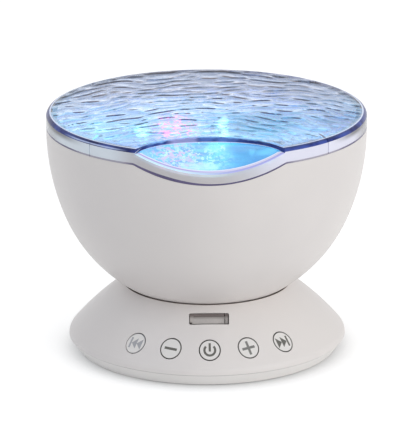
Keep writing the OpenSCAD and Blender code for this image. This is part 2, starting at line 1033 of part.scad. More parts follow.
module speaker_frame() {
    top = plate_top + basket_h;
    color("dimgray")
        difference() {
            union() {
                at_speaker()
                    rotate_extrude()
                        polygon([
                            [basket_r, plate_top],
                            [speaker_r, plate_top],
                            [speaker_r, basket_top],
                            [basket_r + lip_gap, basket_top],
                            [magnet_r + root, top],
                            [0, top],
                            [0, top - basket_wall],
                            [magnet_r - lip_gap, top - basket_wall],
                            [basket_r - 1.2, basket_top],
                            [basket_r, basket_top]
                        ]);
                at_sides(speaker_ear, speaker_y) rod(speaker_ear_r, plate_top, basket_top);
            }
            at_sides(speaker_ear, speaker_y) rod(mid_hole, plate_top - 1, basket_top + 1);
        }
}

module speaker_cone() {
    edge = basket_r - touch;
    low = plate_top + cone_low;
    rise = low + 2.9;
    color("black")
        at_speaker()
            rotate_extrude()
                polygon([
                    [0, rise - 0.4],
                    [cap_r, rise],
                    [edge - 1.3, low],
                    [edge, low],
                    [edge, basket_top],
                    [edge - 1, basket_top],
                    [edge - 1.1, low + cone_t],
                    [cap_r, rise + cone_t],
                    [0, rise + cone_t - 0.4]
                ]);
}

module speaker_magnet() {
    color("dimgray") at_speaker() rod(magnet_r, plate_top + basket_h, plate_top + basket_h + magnet_h);
}

module speaker_screws() {
    color("silver") at_sides(speaker_ear, speaker_y) mid_screw(basket_top, plate_z + 2 * root);
}

module socket_board() {
    color("darkgreen")
        difference() {
            translate([-socket_board_w / 2, pocket_y - socket_board_l, board_top - board_t])
                cube([socket_board_w, socket_board_l - pocket_wall - lip_gap, board_t]);
            at_sides(socket_post_x, socket_post_y) rod(board_hole, 0, base_r);
        }
}

module socket_screws() {
    color("silver") at_sides(socket_post_x, socket_post_y) board_screw(board_top, plate_top + root);
}

// Body of a socket on its board, with the collar that shows in the pocket
module socket_body(x, w, collar, out) {
    translate([x - w / 2, sockets_in, board_top])
        cube([w, sockets_l - pocket_wall - touch, sockets_top - board_top]);
    at_socket(x) bar(collar, -collar_l, out);
}

module power_socket() {
    color("dimgray") {
        difference() {
            socket_body(-sockets_x, power_w, power_collar, power_out);
            at_socket(-sockets_x) bar(power_d / 2, -power_deep, 5);
        }
        at_socket(-sockets_x) bar(power_pin, -power_deep - root, -root);
    }
}

module audio_socket() {
    color("dimgray")
        difference() {
            socket_body(sockets_x, audio_w, audio_collar, audio_out);
            at_socket(sockets_x) bar(audio_d / 2, -audio_deep, 5);
        }
}

// Buttons

module button(i) {
    color("whitesmoke") {
        intersection() {
            at_button(i) bar(button_r, -button_d, flange_in + root);
            flare_solid();
        }
        at_button(i) {
            bar(flange_r, flange_in, flange_in + flange_t);
            bar(stem_r, flange_in + root, stem_in);
        }
    }
}

module back_button() {
    button(-2);
}

module minus_button() {
    button(-1);
}

module power_button() {
    button(0);
}

module plus_button() {
    button(1);
}

module forward_button() {
    button(2);
}

bowl_shell();
lens_cover();
reflector();
light_deck();
deck_screws();
led_board();
led_board_screws();
leds();
led_lenses();
spindle();
retaining_clip();
gear_motor();
motor_screws();
ripple_disc();
drive_wheel();
pinion();
base_shell();
base_plate();
base_screws();
feet();
tilt_saddle();
wave_washer();
lock_nut();
control_board();
board_parts();
control_screws();
switch_carrier();
tact_switches();
card_socket();
card_board();
card_screws();
speaker_frame();
speaker_cone();
speaker_magnet();
speaker_screws();
socket_board();
socket_screws();
power_socket();
audio_socket();
back_button();
minus_button();
power_button();
plus_button();
forward_button();
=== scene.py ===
"""Looks of the ocean wave projector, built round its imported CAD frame. Metres, +Z up, front toward -Y."""

import json
import math

import bmesh
import bpy
import numpy as np
from mathutils import Matrix, Quaternion, Vector


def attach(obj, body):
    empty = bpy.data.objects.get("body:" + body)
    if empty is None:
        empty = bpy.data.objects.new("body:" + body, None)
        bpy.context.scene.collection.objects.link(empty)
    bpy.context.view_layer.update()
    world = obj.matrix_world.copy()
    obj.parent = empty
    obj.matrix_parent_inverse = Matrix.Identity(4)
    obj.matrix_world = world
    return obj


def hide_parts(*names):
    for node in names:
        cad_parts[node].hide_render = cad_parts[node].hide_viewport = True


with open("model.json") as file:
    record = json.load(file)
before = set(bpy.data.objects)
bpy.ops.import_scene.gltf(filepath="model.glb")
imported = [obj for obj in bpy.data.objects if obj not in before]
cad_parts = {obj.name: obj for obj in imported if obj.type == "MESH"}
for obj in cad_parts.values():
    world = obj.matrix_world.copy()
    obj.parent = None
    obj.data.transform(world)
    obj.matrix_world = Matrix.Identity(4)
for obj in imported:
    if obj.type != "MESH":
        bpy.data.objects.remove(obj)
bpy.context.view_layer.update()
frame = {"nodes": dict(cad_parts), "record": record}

MM = 0.001

# Sizes shared with the CAD model, in millimetres
TILT_Z = 78.0
BOWL_R = 60.4
RIM_R = 62.6
SEAM_Z = 90.1
TOP_Z = 96.2
COVER_WALL = 2.0
COVER_ROUND = 1.9
SKIRT_T = 1.6
SKIRT_H = 4.45
JOINT_DEG = 23.0
SCOOP_Y = 39.2
SCOOP_STEP = 1.9
SCOOP_DEG = 14.5
SCOOP_R = 91.0
SCOOP_ARC = 32.0
SEAT_R = 32.8
DISH_R = 60.7
BASE_R = 54.6
CORNER_Z = 6.8
PART_Z = 5.3
FLARE_R = 110.0
BUTTON_R = 3.95
BUTTON_STEP = 18.0
BUTTON_UP = 9.14
BUTTON_DEG = 22.0
SOCKETS_X = 7.0
SOCKETS_Z = 10.6
RELIEF_DEG = 46.5
RELIEF_W = 0.4
RELIEF_IN = 3.0
WINDOW_DEG = 35.0
WINDOW_AT = 38.11
WINDOW_Z = 22.97


class Wire:
    """A value in a material. Expressions on it add Math nodes; node() adds any other node."""

    def __init__(self, tree, socket=None):
        self.tree = tree
        self.socket = socket

    def node(self, kind, settings=None, sockets=None, out=0):
        made = self.tree.nodes.new(kind)
        for name, value in (settings or {}).items():
            setattr(made, name, value)
        for name, value in (sockets or {}).items():
            if isinstance(value, Wire):
                self.tree.links.new(value.socket, made.inputs[name])
            else:
                made.inputs[name].default_value = value
        return Wire(self.tree, made.outputs[out] if made.outputs else None)

    def math(self, operation, first, second=0.0):
        return self.node("ShaderNodeMath", {"operation": operation}, {0: first, 1: second})

    def __add__(self, other):
        return self.math("ADD", self, other)

    def __radd__(self, other):
        return self.math("ADD", other, self)

    def __sub__(self, other):
        return self.math("SUBTRACT", self, other)

    def __rsub__(self, other):
        return self.math("SUBTRACT", other, self)

    def __mul__(self, other):
        return self.math("MULTIPLY", self, other)

    def __rmul__(self, other):
        return self.math("MULTIPLY", other, self)

    def __pow__(self, other):
        return self.math("POWER", self, other)


# Words for the nodes that the finishes use most

def new_finish(name):
    """A bare material, and the place on the piece in its own metres."""
    material = bpy.data.materials.new(name)
    material.use_nodes = True
    material.node_tree.nodes.clear()
    wire = Wire(material.node_tree)
    return material, wire, wire.node("ShaderNodeTexCoord", out="Object")


def coordinate(point, axis):
    return point.node("ShaderNodeSeparateXYZ", sockets={0: point}, out=axis)


def stretched(point, scale):
    return point.node("ShaderNodeVectorMath", {"operation": "MULTIPLY"}, {0: point, 1: scale})


def noise(point, scale, detail=2.0, roughness=0.5, out="Fac"):
    return point.node(
        "ShaderNodeTexNoise",
        sockets={"Vector": point, "Scale": scale, "Detail": detail, "Roughness": roughness},
        out=out,
    )


def cells(point, scale, feature="F1"):
    return point.node(
        "ShaderNodeTexVoronoi", {"feature": feature}, {"Vector": point, "Scale": scale}, "Distance"
    )


def band(value, low, high, first=0.0, last=1.0):
    """Smooth step from first to last as value goes from low to high."""
    return value.node(
        "ShaderNodeMapRange",
        {"interpolation_type": "SMOOTHSTEP"},
        {"Value": value, 1: low, 2: high, 3: first, 4: last},
    )


def blend(factor, first, second):
    """Colour from first at 0 to second at 1."""
    return factor.node(
        "ShaderNodeMix", {"data_type": "RGBA"}, {0: factor, 6: first, 7: second}, out=2
    )


def either(first, second):
    """The larger of two values."""
    return first.math("MAXIMUM", first, second)


def unsigned(value):
    return value.math("ABSOLUTE", value)


def bumped(height, strength, depth):
    return height.node(
        "ShaderNodeBump", sockets={"Height": height, "Strength": strength, "Distance": depth}
    )


def distance(point, centre):
    return point.node(
        "ShaderNodeVectorMath", {"operation": "DISTANCE"}, {0: point, 1: centre}, out="Value"
    )


def across_axis(point, axis, first, second):
    """Distance from a line along X, Y or Z that passes the other two coordinates."""
    kept = {"X": (0, 1, 1), "Y": (1, 0, 1), "Z": (1, 1, 0)}[axis]
    centre = {"X": (0, first, second), "Y": (first, 0, second), "Z": (first, second, 0)}[axis]
    return distance(stretched(point, kept), centre)


def surface(wire, sockets):
    shader = wire.node("ShaderNodeBsdfPrincipled", sockets=sockets)
    wire.node("ShaderNodeOutputMaterial", sockets={"Surface": shader})


def rgb(r, g, b):
    """Linear colour of an 8-bit screen colour."""
    def linear(v):
        v = v / 255
        return v / 12.92 if v <= 0.04045 else ((v + 0.055) / 1.055) ** 2.4
    return (linear(r), linear(g), linear(b), 1.0)


# Finishes

NO_LIGHT = (0.0, 0.0, 0.0, 1.0)
CLEAR_IOR = 1.49
SPOT_Z = 96.0
SPOT_DEEP = 20.0
SATIN_LIGHT = rgb(231, 226, 223)
SATIN_DARK = rgb(224, 219, 217)


def white_plastic(name, light, dark, joint=None, seat=False):
    """Satin white moulding: faint clouds, fine spark-eroded grain; on request, painted shade as a dark line
    under a joint and at the seat's rim.
    """
    material, wire, point = new_finish(name)
    cloud = noise(point, 16.0, 3.0)
    grit = noise(point, 2400.0, 2.0)
    dust = noise(point, 420.0, 4.0, 0.7)
    tone = blend(band(cloud, 0.3, 0.7) * 0.8 + dust * 0.2, dark, light)
    if joint is not None:
        # Painted shade: a darker line just under the joint, where shade falls in the parting gap.
        joint_shade = band(coordinate(point, "Z"), (joint - 0.34) * MM, (joint - 0.12) * MM)
        tone = blend(joint_shade * 0.75, tone, rgb(140, 136, 134))
    if seat:
        # Painted shade: dark brown at the seat's rim and on the dish inside it, where shade falls in the gap
        # under the bowl.
        off = distance(point, (0.0, 0.0, TILT_Z * MM))
        gap = band(off, (DISH_R + 0.14) * MM, (DISH_R + 0.34) * MM, 1.0, 0.0)
        tone = blend(gap, tone, rgb(84, 62, 56))
    surface(wire, {
        "Base Color": tone,
        "Roughness": 0.36 + 0.12 * cloud + 0.08 * grit,
        "Normal": bumped(grit + 0.4 * dust, 0.10, 0.00004),
        "Specular IOR Level": 0.4,
        "Coat Weight": 0.12 + 0.1 * dust,
        "Coat Roughness": 0.25,
    })
    return material


def along(point, direction, start):
    """How far a point lies from a start, along a direction."""
    reach = point.node(
        "ShaderNodeVectorMath",
        {"operation": "DOT_PRODUCT"},
        {0: point, 1: tuple(direction)},
        out="Value",
    )
    return reach - Vector(start).dot(direction)


def across_face(degrees):
    """Upward direction across a face at the front that leans back by some degrees."""
    lean = math.radians(degrees)
    return Vector((0.0, math.sin(lean), math.cos(lean)))


def button_plastic(name, middle, right, upward, line, sheen_fade):
    """Lighter satin button with a dark line round its face; on request the line lightens toward the lower
    left, a painted reflection.
    """
    material, wire, point = new_finish(name)
    u = along(point, right, middle)
    w = along(point, upward, middle)
    off = (u * u + w * w) ** 0.5
    cloud = noise(point, 40.0, 3.0)
    grit = noise(point, 2400.0, 2.0)
    ring = band(off, (BUTTON_R - 0.24) * MM, (BUTTON_R - 0.14) * MM)
    # Painted reflection: the line lightens toward the lower left, as under a sheen.
    if sheen_fade:
        ring = ring * band(u + w, -0.0045, 0.001, 0.15, 1.0)
    surface(wire, {
        "Base Color": blend(ring, blend(cloud, rgb(228, 225, 222), rgb(235, 232, 229)), line),
        "Roughness": 0.4 + 0.1 * grit,
        "Normal": bumped(grit, 0.06, 0.00004),
        "Specular IOR Level": 0.4,
        "Coat Weight": 0.12 + 0.1 * cloud,
        "Coat Roughness": 0.25,
    })
    return material


def plain_moulding(name, light, dark, roughness):
    """Inner moulding with flow marks."""
    material, wire, point = new_finish(name)
    flow = noise(stretched(point, (1.0, 1.0, 4.0)), 60.0, 4.0, 0.6)
    grit = noise(point, 1800.0, 2.0)
    surface(wire, {
        "Base Color": blend(flow, dark, light),
        "Roughness": roughness + 0.12 * grit,
        "Normal": bumped(grit + flow, 0.15, 0.00005),
    })
    return material


def plated_steel(name, light, dark):
    """Turned and plated steel with fine lathe lines."""
    material, wire, point = new_finish(name)
    lines = noise(stretched(point, (1.0, 1.0, 14.0)), 900.0, 3.0)
    stain = noise(point, 160.0, 3.0)
    surface(wire, {
        "Base Color": blend(stain, dark, light),
        "Metallic": 1.0,
        "Roughness": 0.24 + 0.18 * lines,
        "Normal": bumped(lines, 0.12, 0.00003),
    })
    return material


def circuit_board(name):
    """Green solder mask over tracks, with plated pads."""
    material, wire, point = new_finish(name)
    tracks = cells(stretched(point, (1.0, 1.0, 0.05)), 260.0, "DISTANCE_TO_EDGE")
    track = band(tracks, 0.10, 0.14, 1.0, 0.0)
    weave = noise(point, 1500.0, 1.0)
    mask = blend(track * 0.7 + weave * 0.2, rgb(18, 78, 50), rgb(44, 118, 74))
    pads = band(cells(point, 210.0), 0.10, 0.13, 1.0, 0.0)
    surface(wire, {
        "Base Color": blend(pads, mask, rgb(196, 184, 140)),
        "Metallic": pads * 0.8,
        "Roughness": 0.38 + 0.15 * weave,
        "Normal": bumped(track, 0.3, 0.00003),
    })
    return material


def black_moulding(name):
    material, wire, point = new_finish(name)
    grit = noise(point, 1600.0, 3.0)
    wear = noise(point, 240.0, 4.0)
    surface(wire, {
        "Base Color": blend(wear, rgb(30, 30, 32), rgb(56, 56, 58)),
        "Roughness": 0.48 + 0.2 * grit,
        "Normal": bumped(grit, 0.2, 0.00004),
    })
    return material


def socket_moulding(name, x, bore, metal, inner):
    """Black socket moulding with its metal contact round the bore's axis."""
    material, wire, point = new_finish(name)
    off = across_axis(point, "Y", x * MM, SOCKETS_Z * MM)
    contact = band(off, inner * MM, bore * MM, 1.0, 0.0)
    grit = noise(point, 1500.0, 3.0)
    surface(wire, {
        "Base Color": blend(contact, blend(grit, rgb(28, 28, 30), rgb(52, 52, 55)), metal),
        "Metallic": contact,
        "Roughness": 0.5 - 0.25 * contact + 0.15 * grit,
        "Normal": bumped(grit, 0.18, 0.00004),
    })
    return material


def foot_rubber(name):
    material, wire, point = new_finish(name)
    grit = noise(point, 1900.0, 4.0, 0.7)
    bloom = noise(point, 130.0, 3.0)
    surface(wire, {
        "Base Color": blend(bloom, rgb(62, 62, 64), rgb(92, 92, 93)),
        "Roughness": 0.78 + 0.15 * grit,
        "Normal": bumped(grit, 0.5, 0.00006),
        "Specular IOR Level": 0.25,
    })
    return material


def lamp_resin(name):
    """Cream lamp resin, lit in a cold white."""
    material, wire, point = new_finish(name)
    grain = noise(point, 2200.0, 2.0)
    glow = blend(grain, (0.55, 0.85, 1.0, 1.0), (0.85, 0.95, 1.0, 1.0))
    surface(wire, {
        "Base Color": blend(grain, rgb(236, 220, 150), rgb(248, 240, 205)),
        "Roughness": 0.35 + 0.1 * grain,
        "Emission Color": glow,
        "Emission Strength": 1.2,
        "Normal": bumped(grain, 0.1, 0.00002),
    })
    return material


def cone_paper(name):
    material, wire, point = new_finish(name)
    fibre = noise(stretched(point, (1.0, 1.0, 3.0)), 700.0, 6.0, 0.7)
    surface(wire, {
        "Base Color": blend(fibre, rgb(28, 27, 26), rgb(58, 56, 54)),
        "Roughness": 0.7 + 0.2 * fibre,
        "Normal": bumped(fibre, 0.5, 0.00008),
    })
    return material


def ferrite(name):
    material, wire, point = new_finish(name)
    pits = noise(point, 800.0, 5.0, 0.7)
    surface(wire, {
        "Base Color": blend(pits, rgb(52, 52, 54), rgb(92, 92, 94)),
        "Metallic": 0.35,
        "Roughness": 0.5 + 0.25 * pits,
        "Normal": bumped(pits, 0.4, 0.00006),
    })
    return material


def card_front(name):
    """Grey card socket, a little patchy, shaded brown under the window's upper lip."""
    material, wire, point = new_finish(name)
    grit = noise(point, 1700.0, 3.0)
    wide = noise(point, 150.0, 2.0)
    rise = along(point, across_face(WINDOW_DEG), Vector((0.0, -WINDOW_AT, WINDOW_Z)) * MM)
    grey = blend(wide * 0.6 + grit * 0.4, rgb(168, 163, 160), rgb(206, 201, 198))
    surface(wire, {
        "Base Color": blend(band(rise, 0.0002, 0.0019) * 0.85, grey, rgb(92, 78, 76)),
        "Roughness": 0.42 + 0.2 * grit,
        "Normal": bumped(grit, 0.15, 0.00004),
    })
    return material


def printed_ink(name, light, dark):
    """Pad-printed ink, a little patchy."""
    material, wire, point = new_finish(name)
    patch = noise(point, 1500.0, 4.0, 0.7)
    surface(wire, {
        "Base Color": blend(patch, dark, light),
        "Roughness": 0.5 + 0.2 * patch,
        "Normal": bumped(patch, 0.1, 0.00002),
    })
    return material


def spot(point, centre, radii):
    """1 at a centre, fading to 0 at an ellipse round it; all in millimetres."""
    scale = tuple(1.0 / (r * MM) for r in radii)
    middle = tuple(c * MM * k for c, k in zip(centre, scale))
    return band(distance(stretched(point, scale), middle), 0.25, 1.0, 1.0, 0.0)


def top_spot(point, centre, radii):
    """A spot on the cover's top, placed as seen from above."""
    return spot(point, (*centre, SPOT_Z), (*radii, SPOT_DEEP))


def squiggles(value, half_width):
    """Thin wandering lines along a noise's middle level."""
    off = unsigned(value - 0.5)
    return band(off, 0.4 * half_width, half_width, 1.0, 0.0)


def stroke(point, start, end, half_width):
    """1 on a straight line between two places on the top, in millimetres; 0 beside it."""
    first, last = Vector((*start, 0.0)) * MM, Vector((*end, 0.0)) * MM
    way = (last - first).normalized()
    run = along(point, way, first)
    off = along(point, Vector((-way.y, way.x, 0.0)), first)
    beside = band(unsigned(off), 0.5 * half_width * MM, half_width * MM, 1.0, 0.0)
    length = (last - first).length
    return beside * band(run, -0.0003, 0.0) * band(run, length, 0.8 * length)


def lit_disc(name):
    """Turning ripple disc: clear plastic that carries the lamps' cyan, blue, white and pink light."""
    material, wire, point = new_finish(name)
    drift = noise(point, 30.0, 2.0, out="Color")
    warped = wire.node(
        "ShaderNodeVectorMath",
        {"operation": "MULTIPLY_ADD"},
        {0: drift, 1: (0.02, 0.02, 0.0), 2: point},
    )
    tide = noise(warped, 34.0, 3.0)
    water = blend(band(tide, 0.35, 0.68), rgb(60, 120, 214), rgb(120, 216, 244))
    veins = band(cells(warped, 120.0, "SMOOTH_F1"), 0.28, 0.8) ** 2.0
    water = blend(veins, water, rgb(214, 244, 255))
    pink = spot(point, (-10.0, 0.0, 80.0), (16.0, 36.0, 40.0)) * band(tide, 0.4, 0.6)
    water = blend(pink * 0.8, water, rgb(246, 160, 228))
    ripple = noise(point, 180.0, 3.0)
    surface(wire, {
        "Base Color": blend(ripple, rgb(110, 150, 190), rgb(170, 200, 225)),
        "Roughness": 0.12 + 0.1 * ripple,
        "Emission Color": water,
        "Emission Strength": 0.55,
        "Normal": bumped(ripple, 0.6, 0.0006),
    })
    return material


def silvered(name):
    """Silvered reflector, lit blue from the lamps below."""
    material, wire, point = new_finish(name)
    height = coordinate(point, "Z")
    brush = noise(stretched(point, (1.0, 1.0, 0.2)), 220.0, 3.0)
    rise = band(height, 0.064, 0.084)
    surface(wire, {
        "Base Color": blend(brush, rgb(150, 170, 205), rgb(205, 218, 238)),
        "Metallic": 0.8,
        "Roughness": 0.22 + 0.15 * brush,
        "Emission Color": blend(rise, rgb(40, 70, 190), rgb(120, 150, 230)),
        "Emission Strength": 0.4,
        "Normal": bumped(brush, 0.2, 0.0001),
    })
    return material


def ripple_clear(name):
    """Clear rippled top in painted light and shade: painted highlights on pale tips, painted shade in dark
    dashes on steep ripples, painted patches of light and shade, and cyan, white and pink light in front.
    """
    material, wire, point = new_finish(name)
    steep = wire.node("ShaderNodeAttribute", {"attribute_name": "steep"}, out="Fac")
    crest = wire.node("ShaderNodeAttribute", {"attribute_name": "crest"}, out="Fac")
    depth = coordinate(point, "Y")
    side = coordinate(point, "X")
    shade = noise(point, 55.0, 3.0)
    fine = noise(point, 300.0, 3.0, 0.6)
    front = band(depth + 0.02 * shade, 0.045, -0.025)
    # Painted light: lavender tones far back and cyan tones in front, lighter on the crests.
    swell = band(crest, 0.2, 0.8)
    far_tone = blend(swell, rgb(158, 166, 189), rgb(206, 208, 222))
    near_tone = blend(swell, rgb(158, 204, 238), rgb(222, 236, 250))
    tint = blend(front, far_tone, near_tone)
    # Painted shade: greyer toward the right.
    grey = band(side + 0.02 * shade, 0.018, 0.06) * band(shade, 0.3, 0.6)
    tint = blend(grey * 0.3, tint, rgb(150, 160, 178))
    # Painted light and shade in patches placed as seen from above: cyan, pale, dim, teal and cool.
    cyan = top_spot(point, (-38.0, -27.0), (22.0, 22.0))
    tint = blend(cyan * 0.7, tint, rgb(188, 222, 240))
    pale = top_spot(point, (-10.0, 9.0), (24.0, 18.0))
    tint = blend(pale * 0.7, tint, rgb(224, 236, 252))
    ridge = band(crest, 0.3, 0.8)
    dim = top_spot(point, (52.0, -15.0), (19.0, 26.0))
    tint = blend(dim * 0.85, tint, blend(ridge, rgb(74, 96, 130), rgb(134, 156, 190)))
    teal = top_spot(point, (23.0, -21.0), (28.0, 30.0))
    tint = blend(teal * 0.85, tint, blend(ridge, rgb(44, 118, 150), rgb(110, 170, 196)))
    cool = top_spot(point, (-30.0, -36.0), (24.0, 13.0))
    tint = blend(cool * 0.6, tint, rgb(104, 158, 196))
    # Painted shade: dark dashes on steep ripple faces, fainter dashes far back, and a dark stroke along the
    # right relief slit.
    breaks = noise(stretched(point, (1.0, 0.6, 1.0)), 140.0, 2.0)
    dash = band(steep, 0.3, 0.44) * band(breaks, 0.43, 0.5)
    dash = dash * band(shade, 0.28, 0.42) * (1.0 - 0.3 * band(depth, -0.015, -0.035))
    far = band(depth, -0.005, 0.03)
    faint = band(steep, 0.1, 0.26) * band(fine, 0.36, 0.48) * 0.8 * far
    dash = either(dash, faint)
    dash = either(dash, stroke(point, (44.6, -42.6), (41.8, -34.4), 0.7))
    # Painted highlight: a cyan glint along the left relief slit.
    slit = stroke(point, (-44.4, -42.0), (-42.0, -34.0), 0.5)
    # Painted highlights: white ripple tips in a middle band, weaker toward the right.
    middle = band(depth, -0.012, 0.004) * band(depth, 0.056, 0.046)
    tips = band(crest, 0.55, 0.85) * band(fine, 0.4, 0.52) * middle
    tips = tips * band(side, 0.030, 0.004, 0.45, 1.0)
    tint = blend(tips * 0.85, tint, rgb(252, 252, 255))
    # Painted shade: thin dark blue wandering lines over the front.
    outline = squiggles(noise(stretched(point, (1.0, 1.5, 1.0)), 110.0, 2.0), 0.03) * front
    tint = blend(outline * 0.6, tint, rgb(36, 40, 112))
    tint = blend(slit, tint, rgb(70, 190, 200))
    # Painted glints: a cyan patch, a column and sparks of light.
    patch = top_spot(point, (-44.0, -23.0), (13.0, 16.0)) * band(shade, 0.35, 0.6)
    column = top_spot(point, (5.4, -25.0), (3.6, 17.0)) * band(fine, 0.47, 0.55)
    column = either(column, top_spot(point, (6.4, -14.5), (2.6, 5.0)))
    sparks = top_spot(point, (-25.2, -30.0), (4.2, 17.0)) * band(fine, 0.5, 0.56)
    shadow = blend(far, rgb(28, 28, 54), rgb(54, 46, 50))
    # Painted pink light in thin curls.
    curls = squiggles(noise(point, 250.0, 2.0), 0.034)
    pink = top_spot(point, (-12.5, -24.0), (12.0, 29.0)) * curls
    lit = patch * 0.12 + column + sparks + slit * 0.4
    glow = blend(lit, NO_LIGHT, rgb(150, 248, 255))
    glow = blend(tips * 0.16, glow, rgb(236, 240, 255))
    surface(wire, {
        "Base Color": blend(dash, blend(pink, tint, rgb(255, 110, 196)), shadow),
        "Roughness": 0.03 + 0.05 * shade,
        "IOR": CLEAR_IOR,
        "Transmission Weight": 1.0,
        "Emission Color": blend(pink, glow, rgb(208, 98, 172)),
        "Emission Strength": 0.8,
    })
    return material


def facet_clear(name):
    """Smooth scoop in painted light and shade: cyan light, painted white and pink sparkle to the left,
    painted smooth darker blue to the right, painted highlights and painted shade by the step.
    """
    material, wire, point = new_finish(name)
    side = coordinate(point, "X")
    clouds = noise(stretched(point, (1.0, 1.6, 1.0)), 120.0, 4.0, 0.6)
    glitter = noise(point, 900.0, 3.0, 0.65)
    flecks = noise(stretched(point, (1.4, 0.8, 1.0)), 330.0, 2.0)
    speck = 0.6 * glitter + 0.4 * flecks
    dots = noise(point, 480.0, 2.0, 0.6)
    water = blend(band(clouds, 0.4, 0.6), rgb(36, 92, 140), rgb(84, 196, 206))
    # Painted light and shade: darker blue to the right, greyer to the far left.
    right = band(side, 0.002, 0.014)
    water = blend(right * 0.9, water, rgb(0, 28, 70))
    water = blend(band(side, -0.012, -0.022) * 0.7, water, rgb(112, 156, 186))
    # Painted highlights: a small shine and an oval by the step on the right.
    shine = spot(point, (16.2, -49.2, 92.6), (1.7, 4.6, 6.0))
    shine = either(shine, spot(point, (22.0, -51.6, 93.4), (7.0, 3.6, 5.0)))
    water = blend(shine * 0.7, water, rgb(110, 190, 214))
    # Painted glints: white sparkle to the left and a streak by the middle.
    sparkle = band(speck, 0.5, 0.55) * spot(point, (-9.0, -52.5, 91.0), (22.0, 15.0, 12.0))
    streak = spot(point, (5.2, -44.5, 92.6), (1.6, 4.0, 5.0)) * band(speck, 0.46, 0.54)
    sparkle = either(sparkle, streak)
    # Painted light: a pale cyan glow low in the middle, and a pale pink glow to its left.
    low = spot(point, (-5.0, -57.0, 89.6), (13.0, 5.0, 6.0)) * band(clouds, 0.35, 0.6)
    water = blend(low * 0.95, water, rgb(210, 246, 252))
    water = blend(sparkle, water, rgb(226, 252, 255))
    pale_glow = spot(point, (-10.5, -54.5, 91.0), (9.0, 6.0, 6.0)) * band(clouds, 0.3, 0.55)
    water = blend(pale_glow * 0.6, water, rgb(238, 222, 250))
    # Painted shade: a dark brownish patch by the step on the right.
    by_step = spot(point, (18.0, -45.5, 93.0), (16.0, 5.0, 8.0))
    water = blend(by_step * 0.8, water, rgb(104, 62, 72))
    # Painted pink light in specks to the left.
    pink = band(dots, 0.52, 0.56) * spot(point, (-13.0, -51.0, 92.0), (14.0, 16.0, 12.0))
    clear = blend(clouds, rgb(112, 184, 210), rgb(152, 212, 222))
    surface(wire, {
        "Base Color": blend(right, clear, rgb(74, 170, 196)),
        "Roughness": 0.03 + 0.05 * clouds,
        "IOR": CLEAR_IOR,
        "Transmission Weight": 1.0,
        "Emission Color": blend(pink * 0.9, water, rgb(255, 150, 226)),
        "Emission Strength": 0.5,
    })
    return material


def clear_inside(name):
    """Inner face of the cover: clear, with faint flow marks, catching the light from below."""
    material, wire, point = new_finish(name)
    flow = noise(point, 70.0, 3.0)
    depth = coordinate(point, "Y")
    front = band(depth + 0.03 * flow, 0.055, -0.02)
    scooped = band(depth, -0.038, -0.046)
    caught = blend(front, rgb(112, 134, 164), rgb(146, 206, 240))
    surface(wire, {
        "Base Color": blend(flow, rgb(226, 230, 244), rgb(244, 246, 252)),
        "Roughness": 0.02 + 0.05 * flow,
        "IOR": CLEAR_IOR,
        "Transmission Weight": 1.0,
        "Emission Color": blend(scooped, caught, rgb(36, 84, 120)),
        "Emission Strength": 0.5,
    })
    return material


def clear_edge(name, light, dark, glow):
    """Clear edge in one painted tone with a glow of the given strength: a painted highlight line along the
    land and at the glints, painted shade in the relief slits.
    """
    material, wire, point = new_finish(name)
    wave = noise(point, 90.0, 3.0)
    surface(wire, {
        "Base Color": blend(wave, dark, light),
        "Roughness": 0.12 + 0.1 * wave,
        "Specular IOR Level": 0.3,
        "Coat Weight": 0.05 + 0.1 * wave,
        "Coat Roughness": 0.05,
        "Emission Color": blend(wave, dark, light),
        "Emission Strength": glow,
    })
    return material


def front_clear(name, left, right, glow):
    """Front edge of the scoop in painted light: one tone to the left and another to the right, with a glow.
    """
    material, wire, point = new_finish(name)
    wave = noise(point, 140.0, 3.0)
    tone = blend(band(coordinate(point, "X"), -0.014, 0.012), left, right)
    surface(wire, {
        "Base Color": blend(wave * 0.4, tone, rgb(206, 184, 240)),
        "Roughness": 0.12 + 0.1 * wave,
        "Specular IOR Level": 0.3,
        "Emission Color": tone,
        "Emission Strength": glow,
    })
    return material


